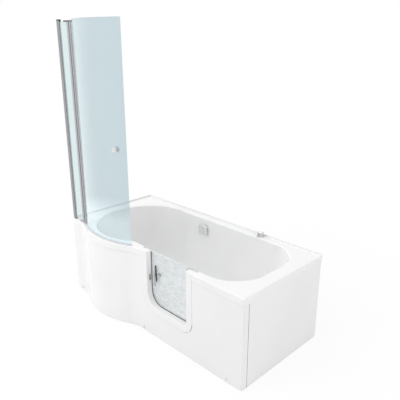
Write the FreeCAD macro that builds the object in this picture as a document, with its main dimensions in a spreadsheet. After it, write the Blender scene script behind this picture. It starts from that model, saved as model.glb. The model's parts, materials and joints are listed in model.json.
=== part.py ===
import FreeCAD, Part
import math
import os
import re
import Sketcher

# P-shaped walk-in shower bath with an inward door, an air spa and a curved hinged screen.
# Millimetres. X runs along the bath from the shower end to the foot end, the wall is on +Y,
# the door and the bowed panel face -Y, Z is up and the floor is at zero.

driving_sizes = [
    # Bath outline and rim
    ("bath_length", 1700),
    ("bath_width", 760),
    ("bow_depth", 90),
    ("bow_radius", 520),
    ("flare_radius", 300),
    ("bow_from_end", 450),
    ("rim_height", 595),
    ("rim_skirt", 45),
    ("rim_edge_radius", 5),
    ("rim_corner_radius", 14),
    ("shell_wall", 6),
    ("tile_bead_height", 10),
    ("tile_bead_width", 8),
    # Basin
    ("shower_back_land", 58),
    ("shower_front_land", 78),
    ("shower_end_land", 98),
    ("back_land", 65),
    ("front_land", 63),
    ("foot_land", 95),
    ("foot_corner_radius", 230),
    ("corner_shrink_share", 0.6),
    ("front_neck_radius", 60),
    ("back_neck_radius", 150),
    ("lip_radius", 10),
    ("floor_height", 150),
    ("upright_wall", 195),
    ("floor_inset", 115),
    ("backrest_lean", 130),
    # Doorway
    ("door_from_flare", 59.5),
    ("door_width", 367),
    ("door_sill", 216),
    ("latch_corner_radius", 100),
    ("hinge_corner_radius", 40),
    ("door_setback", 38),
    ("pocket_lap_latch", 80),
    ("pocket_lap_hinge", 60),
    ("pocket_sill_drop", 27),
    ("pocket_corner_radius", 8),
    ("fit_gap", 0.3),
    ("lining_wall", 5),
    ("surround_width", 50),
    ("surround_proud", 4),
    ("surround_edge_radius", 3.5),
    ("surround_mouth_radius", 8),
    ("seal_width", 17),
    ("seal_reveal", 3),
    ("seal_thickness", 5.7),
    # Door leaf, its top clip and its hinges
    ("leaf_thickness", 10),
    ("leaf_lap_latch", 68),
    ("leaf_lap_hinge", 28),
    ("leaf_lap_sill", 20),
    ("leaf_top_drop", 4),
    ("clip_top_length", 74),
    ("clip_top_width", 20),
    ("clip_top_height", 20),
    ("clip_top_cover", 2.5),
    ("hinge_from_jamb", 42),
    ("hinge_low_rise", 45),
    ("hinge_high_drop", 95),
    ("knuckle_radius", 7.5),
    ("knuckle_height", 17),
    ("bracket_height", 52),
    ("bracket_plate", 2.5),
    ("clamp_plate", 2.8),
    ("clamp_reach", 26),
    ("hinge_pin_radius", 3),
    ("hinge_pin_head", 5.5),
    ("running_gap", 0.05),
    # Latch
    ("latch_from_jamb", 48),
    ("latch_drop", 168),
    ("spindle_radius", 5),
    ("bush_radius", 8),
    ("rose_radius", 17),
    ("rose_thickness", 5),
    ("crown_share", 0.8),
    ("edge_share", 0.4),
    ("tongue_hold", 13),
    ("tongue_width", 14),
    ("tongue_thickness", 8),
    ("tongue_gap", 2),
    ("lever_up", 82),
    ("lever_down", 43),
    ("lever_hub_radius", 11),
    ("lever_tip_radius", 6),
    ("lever_thickness", 6.5),
    ("latch_knob_radius", 14),
    ("latch_knob_depth", 20),
    ("knob_neck_share", 0.7),
    ("knob_swell_share", 0.45),
    ("knob_edge_share", 0.2),
    # Front and end panels
    ("panel_thickness", 5),
    ("panel_inset", 2.5),
    ("panel_gap", 1),
    ("panel_floor_gap", 1),
    ("panel_tuck", 25),
    ("panel_return", 45),
    ("panel_seam", 3),
    ("screw_height", 22),
    ("screw_from_end", 60),
    ("screw_middle", 831),
    ("screw_from_foot", 115),
    ("screw_radius", 2.2),
    ("screw_length", 40),
    ("screw_cap_radius", 8),
    ("screw_cap_proud", 3.5),
    ("cap_crown_share", 0.6),
    ("cap_mouth_share", 0.38),
    ("cap_dimple_share", 0.3),
    ("block_length", 60),
    ("block_depth", 40),
    ("block_height", 50),
    ("clip_length", 30),
    ("clip_depth", 12),
    ("clip_height", 22),
    ("clip_from_surround", 55),
    # Base frame
    ("board_thickness", 18),
    ("board_from_foot", 360),
    ("board_width", 380),
    ("board_from_end", 220),
    ("board_corner_radius", 60),
    ("board_hole_gap", 3),
    ("leg_rail_width", 40),
    ("leg_rail_height", 20),
    ("leg_rail_wall", 2.5),
    ("leg_rail_length", 500),
    ("leg_spread", 450),
    ("stud_radius", 6),
    ("stud_above_rail", 14),
    ("leg_nut_across", 19),
    ("leg_nut_height", 8),
    ("leg_pad_radius", 24),
    ("leg_pad_height", 14),
    ("pad_edge_share", 0.35),
    ("pad_neck_share", 0.6),
    # Waste and overflow
    ("waste_from_end", 722),
    ("waste_from_back", 380),
    ("waste_flange_radius", 35),
    ("waste_flange_height", 3),
    ("flange_crown_share", 0.9),
    ("throat_radius", 22),
    ("throat_wall", 3),
    ("throat_depth", 30),
    ("plug_radius", 30),
    ("plug_height", 7),
    ("plug_edge_share", 0.5),
    ("plug_crown_share", 0.85),
    ("plug_shoulder_share", 0.9),
    ("plug_stem_radius", 4),
    ("plug_stem_length", 62),
    ("plug_seal_height", 5),
    ("trap_radius", 30),
    ("trap_wall", 4),
    ("trap_floor", 26),
    ("trap_flange_radius", 42),
    ("outlet_height", 55),
    ("outlet_radius", 20),
    ("outlet_wall", 2.5),
    ("outlet_length", 70),
    ("outlet_collar", 8),
    ("overflow_drop", 85),
    ("overflow_hole_radius", 24),
    ("overflow_ring_radius", 34),
    ("overflow_ring_thickness", 4),
    ("overflow_chamber_radius", 32),
    ("overflow_wall", 3),
    ("overflow_gasket_thickness", 3),
    ("overflow_pipe_radius", 16),
    ("overflow_pipe_wall", 2.5),
    ("overflow_bend_radius", 60),
    ("knob_side", 74),
    ("knob_thickness", 16),
    ("knob_corner_radius", 16),
    ("knob_edge_radius", 4),
    ("knob_standoff", 8),
    ("knob_shaft_radius", 6),
    # Air spa
    ("jet_radius", 12),
    ("jet_dome", 4),
    ("jet_edge_share", 0.3),
    ("jet_crown_share", 0.6),
    ("jet_shoulder_share", 0.85),
    ("jet_stem_radius", 7),
    ("jet_stem_length", 50),
    ("jet_first_from_end", 330),
    ("jet_last_from_foot", 470),
    ("jet_columns", 6),
    ("jet_row_gap", 170),
    ("air_pipe_radius", 13),
    ("air_pipe_wall", 2.5),
    ("air_pipe_drop", 62),
    ("air_bend_radius", 45),
    ("air_pipe_overrun", 60),
    ("boss_radius", 10.5),
    ("boss_top_drop", 38),
    ("riser_top_drop", 165),
    ("riser_from_foot", 65),
    ("blower_from_foot", 125),
    ("blower_from_back", 515),
    ("blower_radius", 80),
    ("blower_height", 62),
    ("volute_edge_share", 0.2),
    ("volute_crown_share", 0.92),
    ("blower_foot_share", 0.7),
    ("blower_foot_radius", 12),
    ("blower_foot_height", 12),
    ("motor_radius", 42),
    ("motor_height", 66),
    ("motor_wall_share", 0.75),
    ("motor_shoulder_share", 0.85),
    ("motor_shoulder_height_share", 0.92),
    ("motor_crown_share", 0.4),
    ("socket_radius", 17),
    ("socket_height", 50),
    ("gland_radius", 8),
    ("gland_length", 16),
    ("gland_bore", 4),
    ("control_from_foot", 465),
    ("control_from_back", 36),
    ("control_flange_radius", 27),
    ("control_flange_height", 5),
    ("control_tail_radius", 13.5),
    ("control_tail_length", 42),
    ("control_nut_share", 0.75),
    ("dial_radius", 21),
    ("dial_height", 26),
    ("dial_shaft_radius", 5),
    ("dial_shaft_length", 30),
    ("button_radius", 13),
    ("button_height", 10),
    ("button_stroke", 4),
    ("button_proud", 5),
    ("dial_chamfer", 2),
    ("button_dome", 0.5),
    # Screen
    ("tile_inset", 10),
    ("screen_inset", 14),
    ("screen_top", 2000),
    ("profile_width", 26),
    ("profile_depth", 20),
    ("profile_wall", 2.5),
    ("hinge_channel_width", 22),
    ("cap_thickness", 8),
    ("screen_axis_from_end", 172),
    ("tube_radius", 11),
    ("tube_gap", 2),
    ("pivot_radius", 4),
    ("pivot_length", 16),
    ("pivot_bracket_thickness", 8),
    ("pivot_bracket_lap", 40),
    ("screen_thickness", 6),
    ("screen_radius", 600),
    ("screen_arc", 565),
    ("screen_entry_angle", 27.7),
    ("screen_lift", 8),
    ("jaw_reach", 36),
    ("jaw_thickness", 15),
    ("jaw_slot_start", 17),
    ("glass_slot_gap", 0.7),
    ("seal_strip_height", 11),
    ("seal_strip_width", 9),
    ("seal_strip_clear", 0.8),
    ("screen_knob_height", 1235),
    ("screen_knob_from_edge", 78),
    ("screen_knob_radius", 17),
    ("screen_knob_depth", 22),
    ("screen_knob_neck_share", 0.55),
    ("screen_knob_rise_share", 0.35),
    ("screen_knob_swell_share", 0.5),
    ("bolt_reach_share", 0.45),
    ("knob_bolt_radius", 4),
    ("screw_head_space", 12),
    ("wall_hole_radius", 2.5),
    ("wall_hole_margin", 82.5),
    ("wall_hole_step", 410),
]

doc = FreeCAD.newDocument("WalkInShowerBath")
sheet = doc.addObject("Spreadsheet::Sheet", "Sizes")
for row, (alias, number) in enumerate(driving_sizes, 1):
    sheet.set("A%d" % row, alias)
    sheet.set("B%d" % row, str(number))
    sheet.setAlias("B%d" % row, alias)
doc.recompute()
aliases = {alias for alias, number in driving_sizes}
nodes = []

# Places that many pieces share, as expressions of the driving sizes
shower_end = "(-bath_length / 2)"
foot_end = "(bath_length / 2)"
back_face = "((bath_width + bow_depth) / 2)"
front_face = "((bow_depth - bath_width) / 2)"
panel_face = "(%s + panel_inset)" % front_face
panel_shelf = "(rim_height - rim_skirt - panel_gap)"
panel_top = "(rim_height - rim_skirt + panel_tuck)"
tuck_inset = "(shell_wall + panel_gap)"
shower_radius = "((bath_width + bow_depth - shower_back_land - shower_front_land) / 2)"
shower_x = "(%s + shower_end_land + %s)" % (shower_end, shower_radius)
shower_y = "(%s - shower_back_land - %s)" % (back_face, shower_radius)
rim_under = "(rim_height - shell_wall)"
floor_under = "(floor_height - shell_wall)"
bow_reach = "sqrt(bow_depth * (2 * (bow_radius + flare_radius) - bow_depth))"
door_left = "(%s + bow_from_end + %s + door_from_flare)" % (shower_end, bow_reach)
door_right = "(%s + door_width)" % door_left
surround_clip_x = "(%s + surround_width + clip_from_surround)" % door_right
seal_face = "(%s + door_setback)" % front_face
leaf_front = "(%s + seal_thickness + fit_gap)" % seal_face
leaf_back = "(%s + leaf_thickness)" % leaf_front
leaf_middle = "(%s + leaf_thickness / 2)" % leaf_front
leaf_left = "(%s - leaf_lap_latch)" % door_left
leaf_right = "(%s + leaf_lap_hinge)" % door_right
leaf_bottom = "(door_sill - leaf_lap_sill)"
leaf_top = "(rim_height - leaf_top_drop)"
hinge_x = "(%s + hinge_from_jamb)" % door_right
latch_x = "(%s + latch_from_jamb)" % door_left
tongue_back = "(%s - shell_wall - tongue_gap)" % seal_face
tongue_front = "(%s - tongue_thickness)" % tongue_back
tongue_reach = "(latch_from_jamb + tongue_hold)"
latch_z = "(rim_height - latch_drop)"
lever_back = "(%s - rose_thickness - fit_gap)" % leaf_front
lever_front = "(%s - lever_thickness)" % lever_back
board_under = "(%s - board_thickness)" % floor_under
waste_x = "(%s + waste_from_end)" % shower_end
waste_y = "(%s - waste_from_back)" % back_face
wall_inside = "(%s - back_land)" % back_face
wall_outside = "(%s + shell_wall)" % wall_inside
overflow_z = "(rim_height - overflow_drop)"
overflow_front = "(%s + overflow_gasket_thickness)" % wall_outside
overflow_drop_y = "(%s + 2 * overflow_wall + overflow_pipe_radius)" % overflow_front
control_x = "(%s - control_from_foot)" % foot_end
control_y = "(%s - control_from_back)" % back_face
blower_x = "(%s - blower_from_foot)" % foot_end
blower_y = "(%s - blower_from_back)" % back_face
riser_x = "(%s - riser_from_foot)" % foot_end
air_row_back = "(%s + jet_row_gap / 2)" % waste_y
air_row_front = "(%s - jet_row_gap / 2)" % waste_y
air_start_x = "(%s + jet_first_from_end)" % shower_end
jet_pitch = "((bath_length - jet_first_from_end - jet_last_from_foot) / (jet_columns - 1))"
air_end_x = "(%s - jet_last_from_foot + air_pipe_overrun)" % foot_end
air_pipe_z = "(floor_height - air_pipe_drop)"
stub_end = "(%s + air_pipe_radius + socket_height)" % air_end_x
stub_seat = "(%s - socket_height / 2)" % stub_end
riser_top = "(rim_height - riser_top_drop)"
tile_face = "(%s + tile_inset)" % shower_end
screen_y = "(%s + screen_inset)" % front_face
screen_x = "(%s + screen_axis_from_end)" % shower_end
channel_right = "(%s - tube_radius - tube_gap)" % screen_x
channel_left = "(%s - hinge_channel_width)" % channel_right
screen_foot = "(rim_height + fit_gap)"


# Edges closer than this lie on the same line
hair = 0.01


def cells(expression):
    def word(match):
        name = match.group(0)
        return "Sizes." + name if name in aliases else name
    return re.sub(r"[a-z_]+", word, expression)


def size(expression):
    return float(sheet.evalExpression(expression))


def bind(thing, prop, expression):
    thing.setExpression(prop, cells(expression))


def place(thing, base, turn=None):
    if turn:
        thing.Placement = FreeCAD.Placement(FreeCAD.Vector(), FreeCAD.Rotation(*turn))
    for axis, expression in zip("xyz", base):
        bind(thing, "Placement.Base." + axis, expression)


def node(thing, label):
    thing.Label = label
    nodes.append(thing)
    return thing


def block(name, x, y, z):
    box = doc.addObject("Part::Box", name)
    for prop, (low, high) in zip(("Length", "Width", "Height"), (x, y, z)):
        bind(box, prop, "%s - (%s)" % (high, low))
    place(box, (x[0], y[0], z[0]))
    return box


def rod(name, axis, centre, radius, low, high):
    turns = {"x": (FreeCAD.Vector(0, 1, 0), 90), "y": (FreeCAD.Vector(1, 0, 0), -90), "z": None}
    cylinder = doc.addObject("Part::Cylinder", name)
    bind(cylinder, "Radius", radius)
    bind(cylinder, "Height", "%s - (%s)" % (high, low))
    base = list(centre)
    base.insert("xyz".index(axis), low)
    place(cylinder, base, turns[axis])
    return cylinder


def fused(name, shapes):
    union = doc.addObject("Part::MultiFuse", name)
    union.Shapes = shapes
    return union


def less(name, base, tools):
    difference = doc.addObject("Part::Cut", name)
    difference.Base = base
    difference.Tool = tools[0] if len(tools) == 1 else fused(name + "Tools", tools)
    return difference


def outline(body, role, points):
    plane = [item for item in body.Origin.OriginFeatures if item.Role == role][0]
    sketch = body.newObject("Sketcher::SketchObject", body.Name + "Outline")
    sketch.AttachmentSupport = [(plane, "")]
    sketch.MapMode = "FlatFace"
    corners = [FreeCAD.Vector(size(x), size(y), 0) for x, y in points]
    for index, corner in enumerate(corners):
        sketch.addGeometry(Part.LineSegment(corner, corners[(index + 1) % len(corners)]), False)
    for index in range(len(corners)):
        sketch.addConstraint(Sketcher.Constraint("Coincident", index, 2, (index + 1) % len(corners), 1))
    for index, (point, corner) in enumerate(zip(points, corners)):
        for kind, expression, number in zip(("DistanceX", "DistanceY"), point, corner):
            item = sketch.addConstraint(Sketcher.Constraint(kind, -1, 1, index, 1, number))
            title = "%s%d" % (kind, index)
            sketch.renameConstraint(item, title)
            bind(sketch, "Constraints." + title, expression)
    return sketch


def turned(name, profile, base, axis="z"):
    turns = {"y": (FreeCAD.Vector(1, 0, 0), -90), "z": None}
    body = doc.addObject("PartDesign::Body", name)
    revolution = body.newObject("PartDesign::Revolution", name + "Turn")
    revolution.Profile = outline(body, "XZ_Plane", profile)
    revolution.ReferenceAxis = (revolution.Profile[0], ["V_Axis"])
    revolution.Angle = 360
    body.Tip = revolution
    place(body, base, turns[axis])
    return body


def padded(name, role, points, length, base):
    body = doc.addObject("PartDesign::Body", name)
    pad = body.newObject("PartDesign::Pad", name + "Pad")
    pad.Profile = outline(body, role, points)
    pad.SideType = "Symmetric"
    bind(pad, "Length", length)
    body.Tip = pad
    place(body, base)
    return body


def rounded(body, radius, chosen):
    doc.recompute()
    base = body.Tip
    fillet = body.newObject("PartDesign::Fillet", body.Name + "Fillet%d" % len(body.Group))
    picked = [index for index, edge in enumerate(base.Shape.Edges, 1) if chosen(edge)]
    fillet.Base = (base, ["Edge%d" % index for index in picked])
    bind(fillet, "Radius", radius)
    body.Tip = fillet
    return body


def feature(label, shape):
    thing = doc.addObject("Part::Feature", label)
    thing.Shape = shape
    return node(thing, label)


def copies(label, master, places):
    doc.recompute()
    shapes = []
    for spot in places:
        shape = master.Shape.copy()
        shape.translate(FreeCAD.Vector(*spot))
        shapes.append(shape)
    return feature(label, Part.makeCompound(shapes))


def vector(x, y, z=0.0):
    return FreeCAD.Vector(x, y, z)


def line(start, end):
    return Part.LineSegment(start, end).toShape()


def arc(start, middle, end):
    return Part.Arc(start, middle, end).toShape()


def prism(edges, direction):
    return Part.Face(Part.Wire(edges)).extrude(direction)


def lifted(shape, height):
    shape.translate(vector(0, 0, height))
    return shape


def is_upright(edge):
    first, last = edge.Vertexes[0].Point, edge.Vertexes[-1].Point
    return abs(first.x - last.x) < 1e-6 and abs(first.y - last.y) < 1e-6


# Bowed front: straight land, hollow flare, bow, hollow flare and straight again
bow_x = size("%s + bow_from_end" % shower_end)
front_y = size(front_face)
back_y = size(back_face)
left_x = size(shower_end)
right_x = size(foot_end)
rim_z = size("rim_height")
wall = size("shell_wall")


def front_run(inset, start_x, end_x):
    depth, bow, flare = size("bow_depth"), size("bow_radius"), size("flare_radius")
    reach = math.sqrt(depth * (2 * (bow + flare) - depth))
    bow_centre = vector(bow_x, front_y - depth + bow)
    sides = []
    for side in (-1, 1):
        centre = vector(bow_x + side * reach, front_y - flare)
        toward = (bow_centre - centre).normalize()
        between = (toward + vector(0, 1)).normalize()
        sides.append([centre + way * (flare + inset) for way in (vector(0, 1), between, toward)])
    before, after = sides
    return [
        line(vector(start_x, front_y + inset), before[0]),
        arc(*before),
        arc(before[2], vector(bow_x, front_y - depth + inset), after[2]),
        arc(after[2], after[1], after[0]),
        line(after[0], vector(end_x, front_y + inset)),
    ]


def foot_corner(inset):
    radius = size("rim_corner_radius") - inset
    centre = vector(right_x - inset - radius, front_y + inset + radius)
    slant = radius * math.sqrt(0.5)
    return [centre + vector(0, -radius), centre + vector(slant, -slant), centre + vector(radius, 0)]


def rim_outline(inset):
    corner = foot_corner(inset)
    back_right = vector(right_x - inset, back_y - inset)
    back_left = vector(left_x + inset, back_y - inset)
    edges = front_run(inset, left_x + inset, corner[0].x)
    edges += [arc(*corner), line(corner[2], back_right), line(back_right, back_left)]
    edges.append(line(back_left, vector(left_x + inset, front_y + inset)))
    return edges


# Basin: a round shower bowl joined to an oblong bath by two hollow necks
def basin_section(height, inset, grow):
    centre = vector(size(shower_x), size(shower_y))
    radius = size(shower_radius) - inset + grow
    back = back_y - size("back_land") - inset + grow
    front = front_y + size("front_land") + inset - grow
    lean = size("backrest_lean") * (rim_z - height) / (rim_z - size("floor_height"))
    foot = right_x - size("foot_land") - lean - inset + grow
    corner = size("foot_corner_radius") - size("corner_shrink_share") * inset + grow
    slant = corner * (1 - math.sqrt(0.5))
    necks = []
    for side, edge_y, name in ((-1, front, "front_neck_radius"), (1, back, "back_neck_radius")):
        neck = size(name) + inset - grow
        rise = edge_y + side * neck - centre.y
        middle = vector(centre.x + math.sqrt((radius + neck) ** 2 - rise ** 2), centre.y + rise)
        inward = (centre - middle).normalize()
        between = (inward + vector(0, -side)).normalize()
        necks.append([middle + way * neck for way in (vector(0, -side), between, inward)])
    front_neck, back_neck = necks
    edges = [
        line(back_neck[0], vector(foot - corner, back)),
        arc(vector(foot - corner, back), vector(foot - slant, back - slant), vector(foot, back - corner)),
        line(vector(foot, back - corner), vector(foot, front + corner)),
        arc(vector(foot, front + corner), vector(foot - slant, front + slant), vector(foot - corner, front)),
        line(vector(foot - corner, front), front_neck[0]),
        arc(*front_neck),
    ]
    start = math.atan2(front_neck[2].y - centre.y, front_neck[2].x - centre.x)
    finish = math.atan2(back_neck[2].y - centre.y, back_neck[2].x - centre.x)
    far = vector(centre.x - radius, centre.y)
    for first, last, angle in ((front_neck[2], far, (start - math.pi) / 2),
                               (far, back_neck[2], (math.pi + finish) / 2)):
        edges.append(arc(first, centre + vector(math.cos(angle), math.sin(angle)) * radius, last))
    edges.append(arc(back_neck[2], back_neck[1], back_neck[0]))
    return lifted(Part.Wire(edges), height)


def basin(grow, above):
    upright_foot = rim_z - size("upright_wall")
    drop = upright_foot - size("floor_height") + grow
    sections = [basin_section(rim_z + above, 0, grow), basin_section(upright_foot, 0, grow)]
    for step in range(1, 7):
        angle = math.radians(15 * step)
        inset = size("floor_inset") * (1 - math.cos(angle))
        sections.append(basin_section(upright_foot - drop * math.sin(angle), inset, grow))
    return Part.makeLoft(sections, True, True)


def basin_lip():
    radius = size("lip_radius")
    sections = []
    for step in range(4):
        angle = math.radians(30 * step)
        sections.append(basin_section(rim_z - radius * (1 - math.sin(angle)), 0,
                                      radius * (1 - math.cos(angle))))
    sections.append(basin_section(rim_z + radius, 0, radius))
    return Part.makeLoft(sections, True, True)


# Doorway outline in the XZ plane, grown outwards, open past the rim
def doorway(grow, top):
    left, right = size(door_left) - grow, size(door_right) + grow
    bottom = size("door_sill") - grow
    latch, hinge = size("latch_corner_radius") + grow, size("hinge_corner_radius") + grow
    latch_slant, hinge_slant = latch * (1 - math.sqrt(0.5)), hinge * (1 - math.sqrt(0.5))
    return [
        line(vector(left, 0, top), vector(left, 0, bottom + latch)),
        arc(vector(left, 0, bottom + latch), vector(left + latch_slant, 0, bottom + latch_slant),
            vector(left + latch, 0, bottom)),
        line(vector(left + latch, 0, bottom), vector(right - hinge, 0, bottom)),
        arc(vector(right - hinge, 0, bottom), vector(right - hinge_slant, 0, bottom + hinge_slant),
            vector(right, 0, bottom + hinge)),
        line(vector(right, 0, bottom + hinge), vector(right, 0, top)),
        line(vector(right, 0, top), vector(left, 0, top)),
    ]


def doorway_prism(grow, low_y, high_y, top):
    shape = prism(doorway(grow, top), vector(0, high_y - low_y, 0))
    shape.translate(vector(0, low_y, 0))
    return shape


def cylinder(centre, radius, length, way):
    return Part.makeCylinder(radius, length, centre, way)


jet_spots = [("%s + %d * %s" % (air_start_x, column, jet_pitch),
              row) for column in range(int(size("jet_columns")))
             for row in (air_row_front, air_row_back)]
jet_places = [(size(x), size(y)) for x, y in jet_spots]


# Door pocket: the hollow that the leaf closes into, with rounded corners beside the doorway
def pocket(grow, top):
    left = size("%s - pocket_lap_latch" % door_left) - grow
    right = size("%s + pocket_lap_hinge" % door_right) + grow
    floor = size("door_sill - pocket_sill_drop") - grow
    seal_y = size(seal_face) - grow
    shape = Part.makeBox(right - left, size(waste_y) - seal_y, top - floor, vector(left, seal_y, floor))
    corners = [edge for edge in shape.Edges if is_upright(edge) and edge.CenterOfMass.y < seal_y + hair]
    return shape.makeFillet(size("pocket_corner_radius") + grow, corners)


def doorway_tools():
    outside = front_y - size("bow_depth")
    top = rim_z + size("rim_skirt")
    narrow = doorway_prism(0, outside, size(seal_face) + wall, top)
    wide = doorway_prism(size("lining_wall + fit_gap"), outside, size(seal_face) - wall, top)
    return [narrow, wide]


# Bath shell: rim with a turned-down skirt, basin, an opening for the door pocket and holes
def bath_shell():
    up = vector(0, 0, 1)
    skirt = size("rim_skirt")
    rim = lifted(prism(rim_outline(0), up * skirt), rim_z - skirt)
    showing = [edge for edge in rim.Edges if edge.CenterOfMass.z > rim_z - hair
               and edge.CenterOfMass.x > left_x + 1 and edge.CenterOfMass.y < back_y - 1]
    rim = rim.makeFillet(size("rim_edge_radius"), showing)
    under = lifted(prism(rim_outline(wall), up * skirt), rim_z - skirt - wall)
    bead_width, bead_height = size("tile_bead_width"), size("tile_bead_height")
    bead_end = size("%s + profile_depth / 2 + fit_gap" % screen_y)
    back_bead = Part.makeBox(right_x - left_x, bead_width, bead_height,
                             vector(left_x, back_y - bead_width, rim_z))
    end_bead = Part.makeBox(bead_width, back_y - bead_end, bead_height, vector(left_x, bead_end, rim_z))
    shell = rim.cut(under).fuse([basin(wall, 0), back_bead, end_bead])
    tools = [basin(0, wall), basin_lip(), pocket(0, rim_z + skirt)] + doorway_tools()
    deep = size("floor_height")
    for x, y in jet_places:
        tools.append(cylinder(vector(x, y, 0), size("jet_stem_radius + fit_gap"), deep + wall, up))
    tools.append(cylinder(vector(size(waste_x), size(waste_y), 0),
                          size("throat_radius + throat_wall + fit_gap"),
                          deep + wall, up))
    tools.append(cylinder(vector(size(waste_x), size(wall_inside) - wall, size(overflow_z)),
                          size("overflow_hole_radius + fit_gap"), 3 * wall, vector(0, 1, 0)))
    tools.append(cylinder(vector(size(control_x), size(control_y), rim_z - 2 * wall),
                          size("control_tail_radius + fit_gap"), 3 * wall, up))
    return shell.cut(tools).removeSplitter()


feature("bath_shell", bath_shell())


# Door frame: the pocket moulding bonded to the outside of the basin under the rim
def door_frame():
    gap = size("fit_gap")
    casing = pocket(wall, rim_z - wall - gap)
    frame = casing.cut([pocket(0, rim_z), basin(wall + gap, 0)] + doorway_tools()).removeSplitter()
    return frame


feature("door_frame", door_frame())


# Panels: a sheet nearly flush with the rim, stepped back at the top to tuck up behind the rim's skirt
def panel_path(inset, start_x, return_y):
    corner = foot_corner(inset)
    edges = front_run(inset, start_x, corner[0].x)
    return edges + [arc(*corner), line(corner[2], vector(corner[2].x, return_y))]


def panel_sheet(start, inset, depth, low, high):
    return_y = size("%s + panel_return" % panel_face)
    outer = panel_path(inset, left_x + start, return_y)
    inner = panel_path(inset + depth, left_x + start, return_y)
    ends = [line(outer[-1].Vertexes[-1].Point, inner[-1].Vertexes[-1].Point),
            line(inner[0].Vertexes[0].Point, outer[0].Vertexes[0].Point)]
    section = Part.Face(Part.Wire(Part.__sortEdges__(outer + inner + ends)))
    return lifted(section.extrude(vector(0, 0, high - low)), low)


def screw_spots():
    return [left_x + size("screw_from_end"), left_x + size("screw_middle"), right_x - size("screw_from_foot")]


def panel_y(x, inset):
    probe = line(vector(x, front_y - 2 * size("bow_depth")), vector(x, back_y))
    path = Part.Wire(front_run(inset, left_x, right_x))
    return path.distToShape(probe)[1][0][0].y


def front_panel():
    inset, tuck, thick = size("panel_inset"), size(tuck_inset), size("panel_thickness")
    shelf = size(panel_shelf)
    panel = panel_sheet(inset, inset, thick, size("panel_floor_gap"), shelf)
    step = panel_sheet(inset, inset, tuck + thick - inset, shelf - thick, shelf)
    tongue = panel_sheet(tuck, tuck, thick, shelf - thick, size(panel_top))
    tools = [doorway_prism(size("lining_wall + fit_gap"), front_y - wall, size(seal_face), rim_z)]
    for x in screw_spots():
        start = vector(x, panel_y(x, inset) - wall, size("screw_height"))
        tools.append(cylinder(start, size("screw_radius + fit_gap"), 4 * wall, vector(0, 1, 0)))
    return panel.fuse([step, tongue]).cut(tools).removeSplitter()


feature("front_panel", front_panel())

panel_end_x = "(%s - panel_inset)" % foot_end
tuck_end_x = "(%s - %s)" % (foot_end, tuck_inset)
end_start = "%s + panel_return + panel_seam" % panel_face
step_low = "%s - panel_thickness" % panel_shelf
end_sheet = block("EndSheet", ("%s - panel_thickness" % panel_end_x, panel_end_x),
                  (end_start, "%s - panel_inset" % back_face), ("panel_floor_gap", panel_shelf))
end_step = block("EndStep", ("%s - panel_thickness" % tuck_end_x, panel_end_x),
                 (end_start, "%s - panel_inset" % back_face), (step_low, panel_shelf))
end_tongue = block("EndTongue", ("%s - panel_thickness" % tuck_end_x, tuck_end_x),
                   (end_start, "%s - %s" % (back_face, tuck_inset)), (step_low, panel_top))
end_panel = fused("EndPanel", [end_sheet, end_step, end_tongue])
end_panel.Refine = True
node(end_panel, "end_panel")
end_block_shares = (0.12, 0.75)
end_clip_shares = (0.3, 0.8)


def panel_blocks():
    length, depth, height = size("block_length"), size("block_depth"), size("block_height")
    thick = size("panel_thickness")
    shapes = []
    for x in screw_spots():
        front = panel_y(x, size("panel_inset")) + thick
        shape = Part.makeBox(length, depth, height, vector(x - length / 2, front, 0))
        pilot = cylinder(vector(x, front, size("screw_height")), size("screw_radius"), size("screw_length"),
                         vector(0, 1, 0))
        shapes.append(shape.cut(pilot))
    inner = size("%s - panel_thickness" % panel_end_x)
    for share in end_block_shares:
        y = front_y + share * size("bath_width")
        shapes.append(Part.makeBox(depth, length, height, vector(inner - depth, y - length / 2, 0)))
    return Part.makeCompound(shapes)


feature("panel_blocks", panel_blocks())

screw_end = "screw_length - panel_thickness"
screw = turned("PanelScrew",
               [("0", "0"), ("screw_radius", "0"), ("screw_radius", screw_end), ("0", screw_end)],
               ("0", "0", "screw_height"), "y")
screw_cap = turned("ScrewCap",
                   [("0", "-cap_dimple_share * screw_cap_proud"),
                    ("cap_dimple_share * screw_cap_radius", "-cap_dimple_share * screw_cap_proud"),
                    ("cap_mouth_share * screw_cap_radius", "-screw_cap_proud"),
                    ("cap_crown_share * screw_cap_radius", "-screw_cap_proud"),
                    ("screw_cap_radius", "-edge_share * screw_cap_proud"), ("screw_cap_radius", "0"),
                    ("0", "0")],
                   ("0", "0", "screw_height"), "y")
reach = size("screw_cap_radius")
screw_places = [(x, min(panel_y(x + side * reach, size("panel_inset")) for side in (-1, 0, 1)), 0)
                for x in screw_spots()]
copies("panel_screws", screw, screw_places)
copies("screw_caps", screw_cap, screw_places)


def panel_clips():
    length, depth, height = size("clip_length"), size("clip_depth"), size("clip_height")
    base = size(rim_under) - height
    thick = size("panel_thickness")
    shapes = []
    for x in (left_x + size("screw_from_end"), bow_x, size(surround_clip_x), right_x - size("screw_from_foot")):
        seat = max(panel_y(x + side * length / 2, size(tuck_inset) + thick) for side in (-1, 0, 1))
        shapes.append(Part.makeBox(length, depth, height, vector(x - length / 2, seat, base)))
    end = size("%s - panel_thickness" % tuck_end_x)
    for share in end_clip_shares:
        y = front_y + share * size("bath_width")
        shapes.append(Part.makeBox(depth, length, height, vector(end - depth, y - length / 2, base)))
    return Part.makeCompound(shapes)


feature("panel_clips", panel_clips())


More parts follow.
